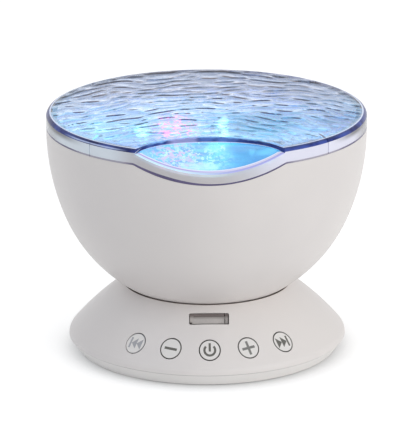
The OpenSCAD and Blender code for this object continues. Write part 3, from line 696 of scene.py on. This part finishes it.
def edge_blue(name):
    """Blue edge of the cover, its blue painted as the light the clear edge shows: a dark lip, a painted
    highlight line under it at the left, painted grey shade at the ends, and a lighter uneven step in painted
    light.
    """
    material, wire, point = new_finish(name)
    side = coordinate(point, "X")
    height = coordinate(point, "Z")
    wave = noise(point, 110.0, 3.0)
    blue = blend(band(wave, 0.32, 0.68), rgb(20, 26, 84), rgb(66, 86, 168))
    # Painted shade: a greyer top to the lip toward the front.
    upper = band(height, 0.09565, 0.0959) * band(coordinate(point, "Y"), -0.02, -0.04)
    blue = blend(upper * 0.6, blue, rgb(62, 70, 104))
    # Painted highlight: a pale line low on the edge toward the left.
    low = band(height, 0.09494, 0.09506) * band(height, 0.09556, 0.09542)
    left = band(side, -0.030, -0.038) * band(side, -0.056, -0.050)
    blue = blend(low * left, blue, rgb(176, 190, 226))
    # Painted light: the step in lighter blue, with a pale jagged line and lavender beside the pink, in the
    # middle of the front.
    off = across_axis(point, "Z", 0.0, -(SCOOP_Y + SCOOP_ARC) * MM)
    step = band(off, (SCOOP_ARC + 0.5) * MM, (SCOOP_ARC + 1.5) * MM, 1.0, 0.0)
    jag = noise(stretched(point, (1.0, 0.0, 0.0)), 300.0, 2.0)
    lit = blend(band(wave, 0.36, 0.6), rgb(40, 56, 128), rgb(96, 128, 200))
    lit = blend(band(height - 0.0016 * jag, 0.09500, 0.09506), lit, rgb(122, 168, 226))
    by_pink = band(side, -0.017, -0.013) * band(side, -0.003, -0.006)
    lit = blend(by_pink * 0.6, lit, rgb(190, 190, 236))
    blue = blend(step * band(side, 0.024, 0.014) * band(side, -0.027, -0.019), blue, lit)
    # Painted shade: greyer toward the ends at the left and right.
    away = band(unsigned(side), 0.0590, 0.0626)
    blue = blend(away * 0.75, blue, rgb(104, 106, 136))
    surface(wire, {
        "Base Color": blue,
        "Roughness": 0.2 + 0.1 * wave,
        "Specular IOR Level": 0.15,
        "Emission Color": blue,
        "Emission Strength": 0.08,
    })
    return material


def skirt_clear(name):
    """Clear skirt over the white lip: frosted, in painted light and shade, greyer at the ends and under the
    left of the scoop, darker under the edge toward its left and right, with a faint painted glow.
    """
    material, wire, point = new_finish(name)
    streak = noise(stretched(point, (1.0, 1.0, 0.3)), 60.0, 3.0)
    side = coordinate(point, "X")
    # Painted light: lighter lavender to the right. Painted shade: greyer under the left of the scoop.
    right = band(side, 0.0, 0.03)
    left = band(side, -0.028, -0.040)
    scooped = band(coordinate(point, "Y"), -0.050, -0.058) * (1.0 - right)
    tone = blend(scooped, blend(right, rgb(222, 228, 236), rgb(236, 236, 248)), rgb(208, 204, 205))
    # Painted shade: grey toward the ends and dark under the edge, toward the left and right.
    turning = band(unsigned(side), 0.046, 0.058)
    under_edge = band(coordinate(point, "Z"), 0.0922, 0.0942) * turning
    ends = band(unsigned(side), 0.0555, 0.0615) * (0.6 + 0.3 * right)
    tone = blend(ends, tone, rgb(124, 122, 124))
    tone = blend(under_edge, tone, rgb(78, 76, 80))
    surface(wire, {
        "Base Color": blend(streak * 0.3, tone, rgb(244, 244, 248)),
        "Roughness": 0.1 + 0.08 * streak,
        "Alpha": 0.74 + 0.12 * streak + 0.14 * under_edge,
        "IOR": CLEAR_IOR,
        "Coat Weight": (0.2 + 0.2 * streak) * (1.0 - under_edge),
        "Coat Roughness": 0.05,
        "Emission Color": blend(
            either(either(scooped, under_edge), ends),
            blend(right, blend(left, rgb(110, 118, 150), rgb(190, 214, 224)), rgb(184, 188, 224)),
            NO_LIGHT,
        ),
        "Emission Strength": 0.14,
    })
    return material


def seam_dark(name):
    """Foot of the skirt: a dark violet line of painted shade on the bowl, fainter between the scoop and the
    sides.
    """
    material, wire, point = new_finish(name)
    wave = noise(point, 110.0, 3.0)
    side = unsigned(coordinate(point, "X"))
    faint = band(side, 0.027, 0.034) * band(side, 0.054, 0.047)
    dark = blend(wave, rgb(60, 52, 92), rgb(108, 100, 140))
    surface(wire, {
        "Base Color": blend(faint * 0.85, dark, rgb(178, 174, 188)),
        "Roughness": 0.2 + 0.15 * wave,
    })
    return material


WHITE = white_plastic("white_plastic", SATIN_LIGHT, SATIN_DARK)
# The plate is the same white moulding in a lighter copy: painted light on its band that faces down. It also
# carries the painted shade under the parting joint.
WHITE_PLATE = white_plastic("plate_plastic", rgb(243, 240, 237), rgb(237, 234, 231), joint=PART_Z)
WHITE_BASE = white_plastic("base_plastic", SATIN_LIGHT, SATIN_DARK, seat=True)
INNER = plain_moulding("inner_plastic", rgb(226, 226, 224), rgb(206, 206, 205), 0.45)
ACETAL = plain_moulding("gear_plastic", rgb(240, 236, 220), rgb(224, 218, 198), 0.38)
STEEL = plated_steel("steel", rgb(206, 206, 208), rgb(168, 168, 172))
MOTOR_STEEL = plated_steel("motor_steel", rgb(192, 192, 194), rgb(150, 150, 154))
BOARD = circuit_board("circuit_board")
BLACK = black_moulding("dark_plastic")
POWER_BLACK = socket_moulding("power_socket_plastic", -SOCKETS_X, 1.4, rgb(206, 180, 110), 1.1)
AUDIO_BLACK = socket_moulding("audio_socket_plastic", SOCKETS_X, 2.3, rgb(196, 196, 200), 1.85)
RUBBER = foot_rubber("foot_rubber")
LAMP = lamp_resin("led_resin")
PAPER = cone_paper("cone_paper")
FERRITE = ferrite("magnet")
CARD_GREY = card_front("socket_plastic")
# One print in three copies: the two lighter ones, for the plus and back buttons, are painted sheen over the
# print.
INK = printed_ink("printed_ink", rgb(112, 111, 105), rgb(88, 87, 82))
SOFT_INK = printed_ink("soft_ink", rgb(138, 138, 135), rgb(112, 112, 109))
SHEEN_INK = printed_ink("sheen_lit_ink", rgb(182, 182, 186), rgb(158, 159, 165))
LIT_DISC = lit_disc("lit_disc")
SILVERED = silvered("reflector_plastic")
RIPPLE = ripple_clear("ripple_clear")
FACET = facet_clear("facet_clear")
INSIDE = clear_inside("cover_inside")
# Painted highlight: a pale line along the land at the top's edge.
LAND = clear_edge("land_pale", rgb(222, 234, 255), rgb(196, 210, 246), 0.15)
EDGE = edge_blue("edge_blue")
# Painted highlight: a pale glint at the brow of the scoop and inside its front margin.
GLINT = clear_edge("glint_pale", rgb(244, 244, 255), rgb(214, 226, 255), 0.2)
# Painted light: a lavender margin and a cyan-white nose along the scoop's front.
MARGIN = front_clear("margin_lavender", rgb(178, 172, 232), rgb(226, 226, 250), 0.14)
NOSE = front_clear("nose_clear", rgb(206, 246, 255), rgb(164, 172, 230), 0.2)
SKIRT = skirt_clear("skirt_clear")
SEAM = seam_dark("seam_dark")
# Painted shade: a dark tone in the relief slits.
SLIT = clear_edge("slit_dark", rgb(46, 44, 84), rgb(26, 24, 58), 0.0)

FINISH_OF = {
    "white_plastic": WHITE,
    "button_plastic": WHITE,
    "clear_plastic": LIT_DISC,
    "reflector_plastic": SILVERED,
    "inner_plastic": INNER,
    "gear_plastic": ACETAL,
    "steel": STEEL,
    "circuit_board": BOARD,
    "led_resin": LAMP,
    "motor_steel": MOTOR_STEEL,
    "foot_rubber": RUBBER,
    "dark_plastic": BLACK,
    "socket_plastic": CARD_GREY,
    "cone_paper": PAPER,
    "magnet": FERRITE,
}


def dress(node, material):
    mesh = frame["nodes"][node].data
    mesh.materials.clear()
    mesh.materials.append(material)


for row in frame["record"]["subparts"]:
    dress(row["node"], FINISH_OF[row["material_slot"]])
dress("base_plate", WHITE_PLATE)
dress("base_shell", WHITE_BASE)
dress("power_socket", POWER_BLACK)
dress("audio_socket", AUDIO_BLACK)


# Meshes

def piece_from(name, points, faces, body, materials, face_slots=None, smooth=True):
    """A new piece from points in millimetres, riding on a CAD body."""
    mesh = bpy.data.meshes.new(name)
    mesh.from_pydata([tuple(c * MM for c in p) for p in points], [], faces)
    for material in materials:
        mesh.materials.append(material)
    if face_slots is not None:
        mesh.polygons.foreach_set("material_index", face_slots)
    mesh.polygons.foreach_set("use_smooth", [smooth] * len(mesh.polygons))
    mesh.validate()
    mesh.update()
    piece = bpy.data.objects.new(name, mesh)
    bpy.context.scene.collection.objects.link(piece)
    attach(piece, body)
    return piece


# Lens cover

SIDES = 480
TOP_RINGS = 140
LAND_POINTS = 3
EDGE_POINTS = 7
STEP_POINTS = 5
FACET_POINTS = 20
MARGIN_POINTS = 3
NOSE_POINTS = 5
SKIRT_POINTS = 6
INNER_POINTS = 5
UNDER_POINTS = 40

# Waves: how many, their lengths across and outward, and (height, run across, run outward) of each sway
WAVE_SEED = 7
WAVE_COUNT = 44
WAVE_ACROSS = (9.0, 45.0)
WAVE_OUTWARD = (4.4, 10.5)
LONG_SWAY = (1.5, 8.5, 13.0)
SHORT_SWAY = (1.0, 4.2, -7.0)
SPREAD_Y = 80.0
RIPPLE_DEPTH = 0.6
CREST_GAIN = 0.9
STEEP_FULL = 1.7
STEEP_WIDTH = 0.75

# Smooth border along the front of the top, with a broken line of painted shade at its inner side
FRONT_FROM = 18.0
FRONT_FADE = 12.0
BORDER_R = 56.6
BORDER_FADE = 0.8
BORDER_CALM = 0.8
BORDER_LINE = 0.34
BORDER_DARK = 0.48
BORDER_LEVEL = 1.1
BORDER_BREAK = 0.6

# Edge, in degrees up its rounding where one tone ends, and front of the scoop, in shares of its width
LAND_W = 0.9
LAND_DEG = 72
EDGE_DEG = 14
EDGE_BEVEL = 0.35
NOSE_ROUND = 0.4
NOSE_FADE = 5.0
NOSE_DROP = 0.8
NOSE_SHARE = 0.72
MARGIN_W = 2.3
MARGIN_SHARE = 0.4
GLINT_SHARE = 0.28
BROW_W = 0.5
BROW_SHARE = 0.2
SEAM_LINE = 0.6
SEAM_WIDE_DEG = -15.0
SEAM_WIDE_SPAN = 11.0
RELIEF_DEPTH = 0.9
RELIEF_RUN = 5.4
RELIEF_SCORE = 0.12
MERGE = 1e-6
SHARP_DEG = 38

SLOPE = math.radians(SCOOP_DEG)
JOINT = math.radians(JOINT_DEG)
JOINT_RISE = SEAM_Z - TILT_Z + BOWL_R * math.sin(JOINT)
JOINT_RUN = RIM_R - BOWL_R * math.cos(JOINT)
SHOULDER_R = (JOINT_RISE ** 2 + JOINT_RUN ** 2) / (
    2 * (math.sin(JOINT) * JOINT_RISE - math.cos(JOINT) * JOINT_RUN)
)
SHOULDER_X = (BOWL_R - SHOULDER_R) * math.cos(JOINT)
SHOULDER_Z = TILT_Z - (BOWL_R - SHOULDER_R) * math.sin(JOINT)


def swayed(x, y, sway):
    height, across, outward = sway
    return height * np.sin(x / across + y / outward)


def wave_field(x, y):
    """Smooth random field of waves that spread from the scoop, from a fixed seed, and its slope outward."""
    rng = np.random.RandomState(WAVE_SEED)
    sway = swayed(x, y, LONG_SWAY) + swayed(x, y, SHORT_SWAY)
    out = np.hypot(x, y + SPREAD_Y) + sway
    total = np.zeros_like(x)
    slope = np.zeros_like(x)
    for _ in range(WAVE_COUNT):
        across = 2 * math.pi / rng.uniform(*WAVE_ACROSS) * rng.choice((-1.0, 1.0))
        outward = 2 * math.pi / rng.uniform(*WAVE_OUTWARD)
        phase = rng.uniform(0, 2 * math.pi)
        at = across * x + outward * out + phase
        total += np.cos(at)
        slope -= np.sin(at) * outward
    level = math.sqrt(WAVE_COUNT / 2)
    return total / level, slope / level


def scoop_height(x, y, wall=0.0):
    """Height of the scoop's surface, lowered by a wall."""
    lift = SCOOP_R - math.sqrt((SCOOP_R + wall) ** 2 - x * x)
    run = (y + SCOOP_Y + lift * math.sin(SLOPE)) / math.cos(SLOPE)
    return TOP_Z - SCOOP_STEP + run * math.sin(SLOPE) + lift * math.cos(SLOPE)


def scoop_reach(turn, wall=0.0):
    """Distance from the axis to the step, in a direction measured from the front; past the rim if none."""
    middle = SCOOP_Y + SCOOP_ARC
    arc = SCOOP_ARC + wall
    inside = arc * arc - (middle * math.sin(turn)) ** 2
    if abs(turn) > math.pi / 2 or inside <= 0:
        return 2 * RIM_R
    return middle * math.cos(turn) - math.sqrt(inside)


def outer_height(r):
    """Height of the cover's outside before the scoop is taken out."""
    edge = RIM_R - COVER_ROUND
    if r <= edge:
        return TOP_Z
    return TOP_Z - COVER_ROUND + math.sqrt(max(COVER_ROUND ** 2 - (r - edge) ** 2, 0.0))


def skin_at(z, inset=0.0):
    """Radius of the cover's skirt at a height, where it carries on the bowl's shoulder."""
    if z >= SEAM_Z:
        return RIM_R - inset
    return SHOULDER_X + math.sqrt((SHOULDER_R - inset) ** 2 - (z - SHOULDER_Z) ** 2)


def seam_width(turn):
    """Width of the painted-shade line at the skirt's foot, widest under the left of the scoop."""
    off = (math.degrees(turn) - SEAM_WIDE_DEG) / SEAM_WIDE_SPAN
    return SEAM_LINE * (1.0 + math.exp(-off ** 2))


def cover_profile(turn):
    """The cover's outline in one direction, as named runs of (r, z) points from the middle outward."""
    px, py = math.sin(turn), -math.cos(turn)
    reach = scoop_reach(turn)
    cut = min(reach, RIM_R)
    edge = RIM_R - COVER_ROUND

    def facet(r):
        return min(outer_height(r), scoop_height(r * px, r * py))

    def under(r):
        z = TOP_Z - COVER_WALL
        if r > scoop_reach(turn, COVER_WALL):
            z = min(z, scoop_height(r * px, r * py, COVER_WALL))
        return z

    def bend(start, end, count):
        made = []
        for a in np.radians(np.linspace(start, end, count)):
            r = min(edge + COVER_ROUND * math.cos(a), cut)
            made.append((r, outer_height(r)))
        return made

    top_end = min(edge, reach - EDGE_BEVEL)
    top = [(top_end * t, TOP_Z) for t in np.linspace(0.0, 1.0, TOP_RINGS)]
    if reach <= edge + EDGE_BEVEL:
        land = [top[-1]] * LAND_POINTS
        rounding = [
            (top_end + EDGE_BEVEL * math.sin(a), TOP_Z - EDGE_BEVEL + EDGE_BEVEL * math.cos(a))
            for a in np.linspace(0.0, math.pi / 2, EDGE_POINTS)
        ]
        below = [rounding[-1]] * LAND_POINTS
    else:
        land = bend(90, LAND_DEG, LAND_POINTS)
        rounding = bend(LAND_DEG, EDGE_DEG, EDGE_POINTS)
        below = bend(EDGE_DEG, 0, LAND_POINTS)
    step_low, step_high = facet(cut), below[-1][1]
    fall = step_low - step_high
    step = [(cut, step_high + fall * t) for t in np.linspace(0.0, 1.0, STEP_POINTS)]
    nose = NOSE_ROUND * min(1.0, max(0.0, (RIM_R - cut) / NOSE_FADE))
    front = skin_at(facet(RIM_R)) - nose
    inner_front = front - min(MARGIN_W, MARGIN_SHARE * (front - cut))
    glint_end = inner_front + GLINT_SHARE * (front - inner_front)
    margin_end = inner_front + NOSE_SHARE * (front - inner_front)

    def run_of(start, end, count):
        return [(r, facet(r)) for r in np.linspace(start, end, count)]

    brow_end = cut + min(BROW_W, BROW_SHARE * (inner_front - cut))
    curl = [
        (front + nose * math.sin(a), facet(front) - NOSE_DROP * nose * (1.0 - math.cos(a)))
        for a in np.linspace(0.0, math.pi / 2, NOSE_POINTS)
    ]
    seam = SEAM_Z
    if scoop_reach(turn, SKIRT_H) < RIM_R:
        seam = min(seam, scoop_height(RIM_R * px, RIM_R * py, SKIRT_H))
    skirt_levels = np.linspace(curl[-1][1], seam + seam_width(turn), SKIRT_POINTS)
    wall_r = RIM_R - SKIRT_T
    wall = [(skin_at(z, SKIRT_T), z) for z in np.linspace(seam, under(wall_r), INNER_POINTS)]
    return {
        "top": top,
        "land": land,
        "edge": rounding,
        "below": below,
        "step": step,
        "brow": run_of(cut, brow_end, 2),
        "scoop": run_of(brow_end, inner_front, FACET_POINTS),
        "glint": run_of(inner_front, glint_end, 2),
        "margin": run_of(glint_end, margin_end, MARGIN_POINTS),
        "nose": run_of(margin_end, front, 2) + curl,
        "skirt": [(skin_at(z), z) for z in skirt_levels],
        "seam": [(skin_at(seam), seam)],
        "wall": wall,
        "under": [(r, under(r)) for r in np.linspace(wall_r, 0.0, UNDER_POINTS)],
    }


COVER_FINISHES = [RIPPLE, LAND, EDGE, SKIRT, FACET, GLINT, MARGIN, NOSE, SEAM, SLIT, INSIDE]
FINISH_OF_RUN = {
    "top": RIPPLE,
    "land": LAND,
    "edge": EDGE,
    "below": SKIRT,
    "step": EDGE,
    "brow": GLINT,
    "scoop": FACET,
    "glint": GLINT,
    "margin": MARGIN,
    "nose": NOSE,
    "skirt": SKIRT,
    "seam": SEAM,
    "wall": SKIRT,
    "under": INSIDE,
}


def cover_turns():
    """Directions of the cover's columns, and which of them lie in a relief slit."""
    half = math.degrees(RELIEF_W / 2 / RIM_R)
    slits = [RELIEF_DEG, 180 - RELIEF_DEG, RELIEF_DEG - 180, -RELIEF_DEG]
    plain = [360 * i / SIDES - 180 for i in range(SIDES)]
    plain = [a for a in plain if min(abs(a - c) for c in slits) > 2.0 * half]
    sunk = [c + k * half for c in slits for k in (-0.8, 0.0, 0.8)]
    lips = [c + k * half for c in slits for k in (-1.0, 1.0)]
    rows = [(a, False) for a in plain + lips] + [(a, True) for a in sunk]
    rows.sort()
    return [math.radians(a) for a, _ in rows], np.array([deep for _, deep in rows])


def make_cover():
    """Clear cover as one closed shell: rippled top, blue edge, smooth scoop, skirt and relief slits."""
    turns, deep = cover_turns()
    scooped = [scoop_reach(turn) < RIM_R for turn in turns]
    columns, runs = [], None
    for turn in turns:
        profile = cover_profile(turn)
        runs = [name for name, run in profile.items() for _ in run]
        columns.append([p for run in profile.values() for p in run])
    rz = np.array(columns, float)
    runs = np.array(runs)
    outside = ~np.isin(runs, ("seam", "wall", "under"))
    inner = np.where(runs == "top", RIM_R - RELIEF_RUN, RIM_R - RELIEF_IN)
    slit = deep[:, None] & outside[None, :] & (rz[:, :, 0] > inner[None, :])
    angle = np.array(turns)[:, None]
    x = rz[:, :, 0] * np.sin(angle)
    y = -rz[:, :, 0] * np.cos(angle)
    z = rz[:, :, 1]
    field, slope = wave_field(x[:, :TOP_RINGS], y[:, :TOP_RINGS])
    edge_r = rz[:, TOP_RINGS - 1:TOP_RINGS, 0]
    top_r = rz[:, :TOP_RINGS, 0]
    land = np.clip((edge_r - top_r) / LAND_W, 0.0, 1.0)
    in_front = np.clip((-y[:, :TOP_RINGS] - FRONT_FROM) / FRONT_FADE, 0.0, 1.0)
    border = np.clip((top_r - BORDER_R) / BORDER_FADE, 0.0, 1.0)
    land = land * (1.0 - BORDER_CALM * in_front * border)
    high = (1.0 + np.tanh(CREST_GAIN * field)) / 2
    z[:, :TOP_RINGS] -= RIPPLE_DEPTH * (1.0 - high) * land
    # The steep mask marks painted shade: steep ripple faces and the broken border line. The crest mask places
    # painted highlights.
    line = np.exp(-((top_r - BORDER_R) / BORDER_LINE) ** 2) * in_front
    line = line * np.clip(BORDER_LEVEL - BORDER_BREAK * field, 0.0, 1.0)
    side = np.clip(slope / STEEP_FULL, 0.0, 1.0) * np.exp(-(field / STEEP_WIDTH) ** 2) * land
    steep = np.zeros_like(z)
    steep[:, :TOP_RINGS] = np.maximum(side, BORDER_DARK * line)
    crest = np.zeros_like(z)
    crest[:, :TOP_RINGS] = high
    flat = slit & (runs == "top")
    z[flat] -= RELIEF_SCORE
    sunk = slit & ~flat
    inward = np.where(sunk, 1.0 - RELIEF_DEPTH / np.maximum(rz[:, :, 0], 1.0), 1.0)
    x *= inward
    y *= inward
    z[sunk & np.isin(runs, ("land", "edge", "below"))] -= RELIEF_DEPTH / 2
    points = np.stack([x, y, z], axis=2).reshape(-1, 3)
    place = {finish: i for i, finish in enumerate(COVER_FINISHES)}
    rows = len(runs)
    count = len(turns)
    faces, slots = [], []
    for i in range(count):
        j = (i + 1) % count
        for k in range(rows - 1):
            faces.append((i * rows + k, i * rows + k + 1, j * rows + k + 1, j * rows + k))
            finish = FINISH_OF_RUN[runs[k + 1]]
            if runs[k + 1] == "below" and scooped[i]:
                finish = EDGE
            if slit[i, k + 1] and slit[j, k + 1]:
                finish = SLIT
            slots.append(place[finish])
    cover = piece_from("rippled_cover", points, faces, "head", COVER_FINISHES, slots)
    mesh = cover.data
    for name, values in (("steep", steep), ("crest", crest)):
        mark = mesh.attributes.new(name, "FLOAT", "POINT")
        mark.data.foreach_set("value", values.reshape(-1).astype(np.float32))
    work = bmesh.new()
    work.from_mesh(mesh)
    bmesh.ops.remove_doubles(work, verts=work.verts, dist=MERGE)
    bmesh.ops.recalc_face_normals(work, faces=work.faces)
    work.to_mesh(mesh)
    work.free()
    mesh.set_sharp_from_angle(angle=math.radians(SHARP_DEG))
    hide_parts("lens_cover")


make_cover()


# Printed signs on the buttons

SEAT_Z = TILT_Z - math.sqrt(DISH_R ** 2 - SEAT_R ** 2)
CHORD_R = BASE_R - SEAT_R
CHORD_Z = CORNER_Z - SEAT_Z
CHORD = math.hypot(CHORD_R, CHORD_Z)
CHORD_UP = math.sqrt(FLARE_R ** 2 - CHORD ** 2 / 4)
FLARE_X = (SEAT_R + BASE_R) / 2 + CHORD_UP * CHORD_Z / CHORD
FLARE_Z = (SEAT_Z + CORNER_Z) / 2 - CHORD_UP * CHORD_R / CHORD
BUTTON_A = math.atan2(CORNER_Z - FLARE_Z, BASE_R - FLARE_X) + BUTTON_UP / FLARE_R
BUTTON_AT = FLARE_X + FLARE_R * math.cos(BUTTON_A)
BUTTON_Z = FLARE_Z + FLARE_R * math.sin(BUTTON_A)
INK_LIFT = 0.03
FACE_START = -6.0
FACE_STEPS = 40
FACE_STEP = 0.9
FIRST_PLACE = -2
BAR_HALF = 0.48


def on_flare(index, u, w):
    """Point on a button's face, u to the right and w up across its axis, lifted by the ink."""
    lean = math.radians(BUTTON_DEG)
    turn = math.radians(BUTTON_STEP * index)
    along_axis = Vector((0.0, math.cos(lean), -math.sin(lean)))
    start = Vector((u, -BUTTON_AT, BUTTON_Z)) + across_face(BUTTON_DEG) * w
    depth = FACE_START
    for _ in range(FACE_STEPS):
        p = start + along_axis * depth
        off = math.hypot(math.hypot(p.x, p.y) - FLARE_X, p.z - FLARE_Z) - FLARE_R - INK_LIFT
        depth += off * FACE_STEP
    p = start + along_axis * depth
    return (
        p.x * math.cos(turn) - p.y * math.sin(turn),
        p.x * math.sin(turn) + p.y * math.cos(turn),
        p.z,
    )


def box_outline(x0, z0, x1, z1):
    return [(x0, z0), (x1, z0), (x1, z1), (x0, z1)]


def arc_bands(r_in, r_out, start, end, count):
    """Short four-sided bands of a ring from one angle to another."""
    turns = np.radians(np.linspace(start, end, count + 1))
    made = []
    for a, b in zip(turns[:-1], turns[1:]):
        made.append([
            (r_in * math.cos(a), r_in * math.sin(a)),
            (r_out * math.cos(a), r_out * math.sin(a)),
            (r_out * math.cos(b), r_out * math.sin(b)),
            (r_in * math.cos(b), r_in * math.sin(b)),
        ])
    return made


def skip_sign():
    """Two arrows and a stop bar."""
    arrow_w, half_h, bar_w, gap, start = 2.25, 2.05, 0.75, 0.1, -2.8
    arrows = [
        [(x, -half_h), (x + arrow_w, 0.0), (x, half_h)] for x in (start, start + arrow_w)
    ]
    stop = start + 2 * arrow_w + gap
    return arrows + [box_outline(stop, -half_h, stop + bar_w, half_h)]


def minus_sign():
    half_w = 2.5
    return [box_outline(-half_w, -BAR_HALF, half_w, BAR_HALF)]


def plus_sign():
    half_w, half_h = 2.6, 2.7
    return [
        box_outline(-half_w, -BAR_HALF, half_w, BAR_HALF),
        box_outline(-BAR_HALF, BAR_HALF, BAR_HALF, half_h),
        box_outline(-BAR_HALF, -half_h, BAR_HALF, -BAR_HALF),
    ]


def power_sign():
    """A ring open at the top, with a bar in its gap."""
    r_in, r_out, start, end, bands = 1.65, 2.5, 135, 405, 22
    half_w, low, high = 0.42, -0.5, 2.8
    return arc_bands(r_in, r_out, start, end, bands) + [box_outline(-half_w, low, half_w, high)]


def turned(shapes, degrees):
    c, d = math.cos(math.radians(degrees)), math.sin(math.radians(degrees))
    return [[(u * c - w * d, u * d + w * c) for u, w in shape] for shape in shapes]


def mirrored(shapes):
    return [[(-u, w) for u, w in reversed(shape)] for shape in shapes]


SIGNS = {
    "back": mirrored(skip_sign()),
    "minus": turned(minus_sign(), -6),
    "power": power_sign(),
    "plus": turned(plus_sign(), 8),
    "forward": skip_sign(),
}


def make_sign(index, name, shapes, material):
    """Ink on a button, a thin film that follows the face."""
    flat = bmesh.new()
    for shape in shapes:
        flat.faces.new([flat.verts.new((u, w, 0.0)) for u, w in shape])
    bmesh.ops.subdivide_edges(flat, edges=flat.edges, cuts=5, use_grid_fill=True)
    flat.verts.index_update()
    points = [on_flare(index, v.co.x, v.co.y) for v in flat.verts]
    faces = [tuple(v.index for v in face.verts) for face in flat.faces]
    flat.free()
    sign = piece_from(
        f"{name}_sign", points, faces, f"{name}_button", [material], smooth=False
    )
    film = sign.modifiers.new("film", "SOLIDIFY")
    film.thickness = INK_LIFT * MM
    film.offset = -1.0


# The lighter inks and ring lines, most on the back and plus buttons, are painted sheen over the print.
INK_OF = {"back": SHEEN_INK, "minus": INK, "power": INK, "plus": SOFT_INK, "forward": INK}
LINE_OF = {
    "back": rgb(150, 150, 154),
    "minus": rgb(98, 97, 92),
    "power": rgb(98, 97, 92),
    "plus": rgb(118, 117, 114),
    "forward": rgb(108, 107, 103),
}

for place, (sign_name, sign_shapes) in enumerate(SIGNS.items(), FIRST_PLACE):
    make_sign(place, sign_name, sign_shapes, INK_OF[sign_name])
    swing = Matrix.Rotation(math.radians(BUTTON_STEP * place), 3, "Z")
    dress(f"{sign_name}_button", button_plastic(
        f"{sign_name}_button_plastic",
        swing @ Vector((0.0, -BUTTON_AT * MM, BUTTON_Z * MM)),
        swing @ Vector((1.0, 0.0, 0.0)),
        swing @ across_face(BUTTON_DEG),
        LINE_OF[sign_name],
        sign_name == "back",
    ))


# Stage, light and camera

def seen_directly(wire):
    """1 for rays that show the backdrop: from the camera, a mirror or clear plastic."""
    ray = wire.node("ShaderNodeLightPath", out="Is Camera Ray")
    glossy = wire.node("ShaderNodeLightPath", out="Is Glossy Ray")
    through = wire.node("ShaderNodeLightPath", out="Is Transmission Ray")
    return either(either(ray, glossy), through)


def make_floor():
    mesh = bpy.data.meshes.new("floor")
    half, shade_reach, lift_low, lift_open = 6.0, 0.03, 0.2, 0.58
    corners = [(x, y, 0) for x, y in box_outline(-half, -half, half, half)]
    mesh.from_pydata(corners, [], [(0, 1, 2, 3)])
    floor = bpy.data.objects.new("floor", mesh)
    bpy.context.scene.collection.objects.link(floor)
    material, wire, point = new_finish("pale_floor")
    cloth = noise(point, 3.0, 2.0)
    seen = seen_directly(wire)
    tone = blend(cloth, (0.92, 0.92, 0.92, 1.0), (0.95, 0.95, 0.95, 1.0))
    shader = wire.node("ShaderNodeBsdfDiffuse", sockets={
        "Color": blend(seen, tone, (0.45, 0.45, 0.45, 1.0)),
    })
    # Painted contact shadow: the floor's glow for the camera dims where the object closes off the sky close
    # by.
    open_sky = wire.node(
        "ShaderNodeAmbientOcclusion", {"samples": 16}, {"Distance": shade_reach}, out="AO"
    )
    lift = wire.node("ShaderNodeEmission", sockets={
        "Strength": (lift_low + lift_open * open_sky) * seen,
    })
    both = wire.node("ShaderNodeAddShader", sockets={0: shader, 1: lift})
    wire.node("ShaderNodeOutputMaterial", sockets={"Surface": both})
    mesh.materials.append(material)


def make_world():
    world = bpy.data.worlds.new("studio")
    bpy.context.scene.world = world
    world.use_nodes = True
    world.node_tree.nodes.clear()
    wire = Wire(world.node_tree)
    soft = 0.6
    strength = soft + (1.0 - soft) * seen_directly(wire)
    shader = wire.node("ShaderNodeBackground", sockets={"Color": (1, 1, 1, 1), "Strength": strength})
    wire.node("ShaderNodeOutputWorld", sockets={"Surface": shader})


def make_lamp(name, place, aim, size, power, colour=(1, 1, 1)):
    light = bpy.data.lights.new(name, "AREA")
    light.shape = "DISK"
    light.size = size
    light.energy = power
    light.color = colour
    lamp = bpy.data.objects.new(name, light)
    lamp.location = place
    lamp.rotation_euler = (Vector(aim) - Vector(place)).to_track_quat("-Z", "Y").to_euler()
    bpy.context.scene.collection.objects.link(lamp)


def make_camera():
    """The photograph's view: from 1.5 m in front and 17 degrees above, a little to the left."""
    away, yaw, up, pitch = 1.5, math.radians(1.2), 0.511, math.radians(16.93)
    place = Vector((-away * math.sin(yaw), -away * math.cos(yaw), up))
    side = math.radians(0.094)
    roll = math.radians(0.19)
    look = Vector((
        math.sin(yaw - side) * math.cos(pitch),
        math.cos(yaw - side) * math.cos(pitch),
        -math.sin(pitch),
    ))
    data = bpy.data.cameras.new("camera")
    data.sensor_width = 36.0
    data.lens = 338.65
    data.clip_start = 0.05
    data.clip_end = 50.0
    camera = bpy.data.objects.new("camera", data)
    camera.location = place
    level = look.to_track_quat("-Z", "Y")
    camera.rotation_euler = (level @ Quaternion((0.0, 0.0, 1.0), -roll)).to_euler()
    bpy.context.scene.collection.objects.link(camera)
    bpy.context.scene.camera = camera


make_floor()
make_world()
LAMP_AIM = (0.0, 0.0, 0.05)
make_lamp("key", (1.02, -0.82, 0.5), LAMP_AIM, size=1.3, power=6.8)
make_lamp("fill", (-0.9, -0.4, 1.0), LAMP_AIM, size=1.1, power=1.7, colour=(0.5, 0.7, 1.0))
make_camera()
bpy.context.scene.view_settings.view_transform = "Standard"
